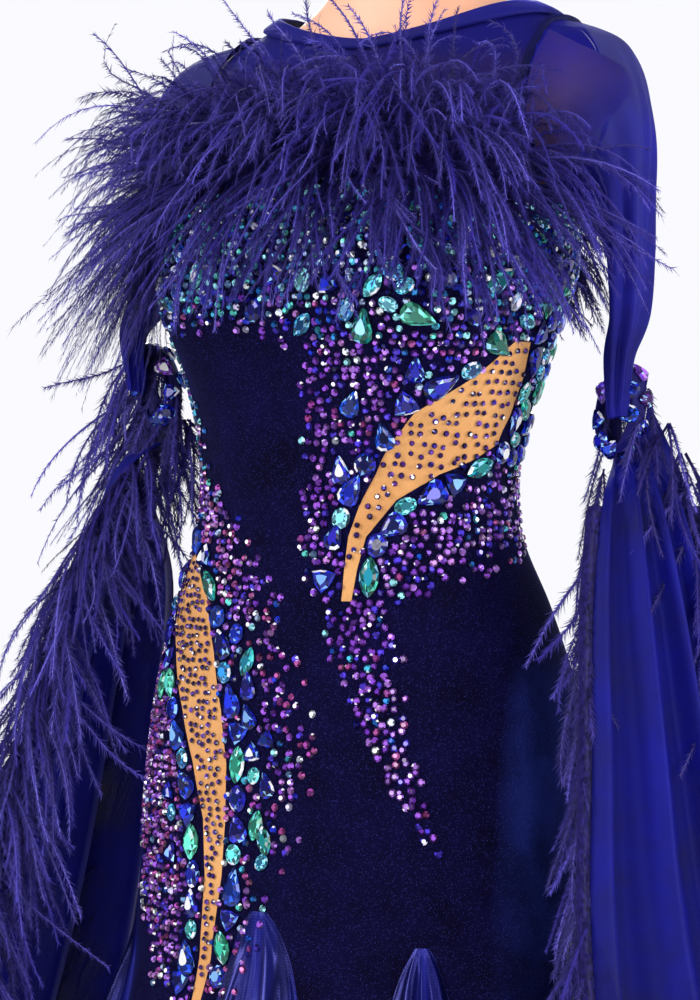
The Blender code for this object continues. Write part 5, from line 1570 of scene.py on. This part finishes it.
def hipRule(angle, z, rng):
    share = fade(angle, *sweepEdges(z), 7.0, 13.0) * (z < 1.262) * (z > 0.738)
    share = share * np.where(z > 1.15, 0.75, 0.92)
    rose = 1.0 - np.clip((z - 1.12) / 0.06, 0, 1)
    near = np.clip(1 - np.abs(angle - seamLine(hipInner, z) - 8) / 12, 0, 1)
    chances = [("rose", 0.75 * rose), ("violet", 0.65 * rose + 0.2), ("aqua", 0.9 * (1 - rose) + 0.35 * near),
               ("clear", 0.12 + 0 * z), ("blue", 0.10 + 0.3 * near)]
    return share, pick(chances, rng)


scatter(bustSet, 0.0066, {"low": 0.870, "high": 1.365, "rule": bustRule})
scatter(hipSet, 0.0064, {"low": 0.730, "high": 1.262, "rule": hipRule})


def insertStones(stones, pitch, which, size):
    rng = stones.rng
    angle, z = candidates(pitch, 0.75, 1.27, rng)
    inside = inInsert(angle, z, -0.0022)[which] & (rng.uniform(size=len(angle)) < 0.93)
    radius = rng.uniform(0.0018, 0.0022, len(angle)) * size
    inside &= stones.free(skin(angle, z), radius)
    picked = np.nonzero(inside)[0]
    stones.small(angle[picked], z[picked], radius[picked], ["deep"] * len(picked))
    print("insert stones", len(picked))


insertStones(bustSet, 0.0086, 1, 1.10)
insertStones(hipSet, 0.0068, 0, 1.02)
bustSet.piece("bust_stones")
hipSet.piece("hip_stones")


bandSpots, bandSkips = 9, (1, 4, 6)


def makeBandStones(name, row, seed):
    # two rings of stones round a band; the front one leans over the band's edge, away from the cloth
    stones = Stones(seed)
    for ring, (back, out) in enumerate(((0.0045, -0.0030), (0.0140, 0.0011))):
        for k in range(bandSpots):
            if (k * 5 + ring * 3) % bandSpots in bandSkips:
                continue
            turn = (k + 0.5 * ring) * 2 * pi / bandSpots
            here = bandRing(row, turn, back, out)
            spot = bandRing(row, turn, back - 0.0030 * (ring == 0), out)
            ahead = unit(bandRing(row, turn + 0.02, back, out) - here)
            inward = unit(bandRing(row, turn, back + 0.001, out) - here)
            normal = np.cross(ahead, inward)
            normal = normal * np.sign(normal @ (here - bandRing(row, turn, back, -0.012)))
            if ring == 0:
                normal = normal * 0.26 - inward * 0.966
            family = ("blue", "deep", "blue", "violet", "blue")[(k * 2 + ring) % 5]
            stones.at(("oval", "pear", "trillion")[(k + ring) % 3], spot, ahead, np.cross(normal, ahead),
                      normal, 0.0165, 0.0135, 60.0 * (k % 3), family)
    stones.piece(name)


makeBandStones("band_left_stones", bandLeft, 21)
makeBandStones("band_right_stones", bandRight, 22)
print("stones made")

# back zip, armhole bindings and hem

zipHalf, zipOut, zipTop, zipBottom = 1.7, 0.0018, 1.285, 0.968


def makeZipTape():
    z = np.linspace(zipTop, zipBottom, 90)[:, None]
    halves = []
    for low, high in ((-1.0, -0.16), (0.16, 1.0)):
        angles, height = np.broadcast_arrays(180 + zipHalf * np.linspace(low, high, 5), z)
        out = (zipOut + 0.0002 * np.sin(height * 900))[..., None]
        halves.append((bodyPoint(angles, height) + out * bodyNormal(angles, height), gridFaces(90, 5)))
    points, faces = sew(halves)
    spec = {"name": "back_zip_tape", "nodes": ["back_zip"], "flat": (0.010, 0.318), "area": 0.0028,
            "held": "stretched", "rests_on": ["body_back_left_velvet", "body_back_right_velvet"]}
    makeSheet(spec, points, zipFinish, "zip", np.stack([points[:, 0], points[:, 2]], -1), faces=faces)


def zipFrame(angle, height, out):
    normal = bodyNormal(180.0, height)
    return bodyPoint(angle, height) + normal * out, unit(np.array([normal[1], -normal[0], 0])), normal


def makeZipTeeth():
    teeth = []
    for k, height in enumerate(np.arange(zipBottom + 0.003, zipTop - 0.010, 0.0021)):
        middle, across, normal = zipFrame(180.0 + (0.14 if k % 2 else -0.14), height, zipOut + 0.0006)
        corners = [middle + across * a * 0.0012 + np.array([0, 0, b * 0.00065]) + normal * c * 0.0006
                   for c in (-1, 1) for a, b in ((-1, -0.7), (1, -1), (1, 1), (-1, 0.7))]
        teeth.append((corners, [[4, 5, 6, 7], [0, 1, 5, 4], [1, 2, 6, 5], [2, 3, 7, 6], [3, 0, 4, 7]]))
    makePiece("back_zip_teeth", *sew(teeth), metalFinish, "zip", smooth=False)


def makeZipSlider():
    top, across, normal = zipFrame(180.0, zipTop - 0.006, zipOut + 0.0018)
    down = np.array([0, 0, -1.0])
    body = [top + across * x + down * y + normal * h for h in (-0.0014, 0.0014)
            for x, y in ((-0.0022, 0.004), (0.0022, 0.004), (0.0034, 0), (0.0028, -0.004), (-0.0028, -0.004),
                         (-0.0034, 0))]
    shape = [[6, 7, 8, 9, 10, 11], [5, 4, 3, 2, 1, 0]]
    shape += [[k, (k + 1) % 6, 6 + (k + 1) % 6, 6 + k] for k in range(6)]
    hang = top + normal * 0.0022 + down * 0.003
    pull = [hang + (across * math.cos(t) * 0.0021 + down * (math.sin(t) + 1) * 0.0075)
            for t in np.linspace(0, 2 * pi, 24, endpoint=False)]
    # distance out and down of the bridge that holds the pull
    bridge = [top + normal * out + down * drop
              for out, drop in ((0.0012, -0.003), (0.0030, 0.0005), (0.0012, 0.004))]
    points, faces = sew([(body, shape), tube(np.array(pull), 0.0006, closed=True),
                         tube(np.array(bridge), 0.0006)])
    makePiece("back_zip_slider", points, faces, metalFinish, "zip", smooth=False)


seamFinish = makeSheer("seam", linear(3, 3, 38), linear(9, 9, 66), 1.0, 0.1)


bindingCount, hemCount = 120, 720


def makeArmholeBinding(word, side):
    turns = np.arange(bindingCount) * 2 * pi / bindingCount
    rows = []
    for shift, out in ((-0.0020, 0.0018), (-0.0034, 0.0026), (0.0, 0.0033), (0.0034, 0.0026), (0.0020, 0.0018)):
        angle, z = armhole(turns, side, 0.002 + shift)
        point = bodyPoint(angle, z) + out * bodyNormal(angle, z)
        point[:, 2] += shift * np.cos(turns)
        rows.append(point)
    spec = {"name": "armhole_binding_" + word, "flat": (0.38, 0.013), "held": "folded",
            "rests_on": yokes + ["sleeve_%s_mesh" % word]}
    makeSheet(spec, np.stack(rows)[::-side], seamFinish, "chiffon", cutGrid(0.012, 5, 0.38, bindingCount), True)


def makeHem():
    angles = np.arange(hemCount) * 360 / hemCount
    # height above the hem, distance out
    rings = [place(angles, np.full(hemCount, hemZ + rise), np.full(hemCount, out))
             for rise, out in ((0.009, 0.0004), (0.0075, 0.0012), (0.003, 0.0014), (0.0, 0.0008),
                               (0.0, -0.0004))]
    length = float(walkAlong(rings[3])[-1])
    spec = {"name": "hem_facing", "flat": (round(length, 2), 0.011), "held": "folded",
            "rests_on": ["body_front_velvet", "body_back_left_velvet", "body_back_right_velvet"]}
    makeSheet(spec, np.stack(rings), bindingFinish, "satin", cutGrid(0.011, 5, 3.4, hemCount), True)


makeZipTape()
makeZipTeeth()
makeZipSlider()
makeArmholeBinding("left", 1)
makeArmholeBinding("right", -1)
makeHem()
print("zip and bindings made")

total = sum(len(m.vertices) - 2 for o in bpy.data.objects if o.type == "MESH" for m in o.data.polygons)
print("triangles in all", total)
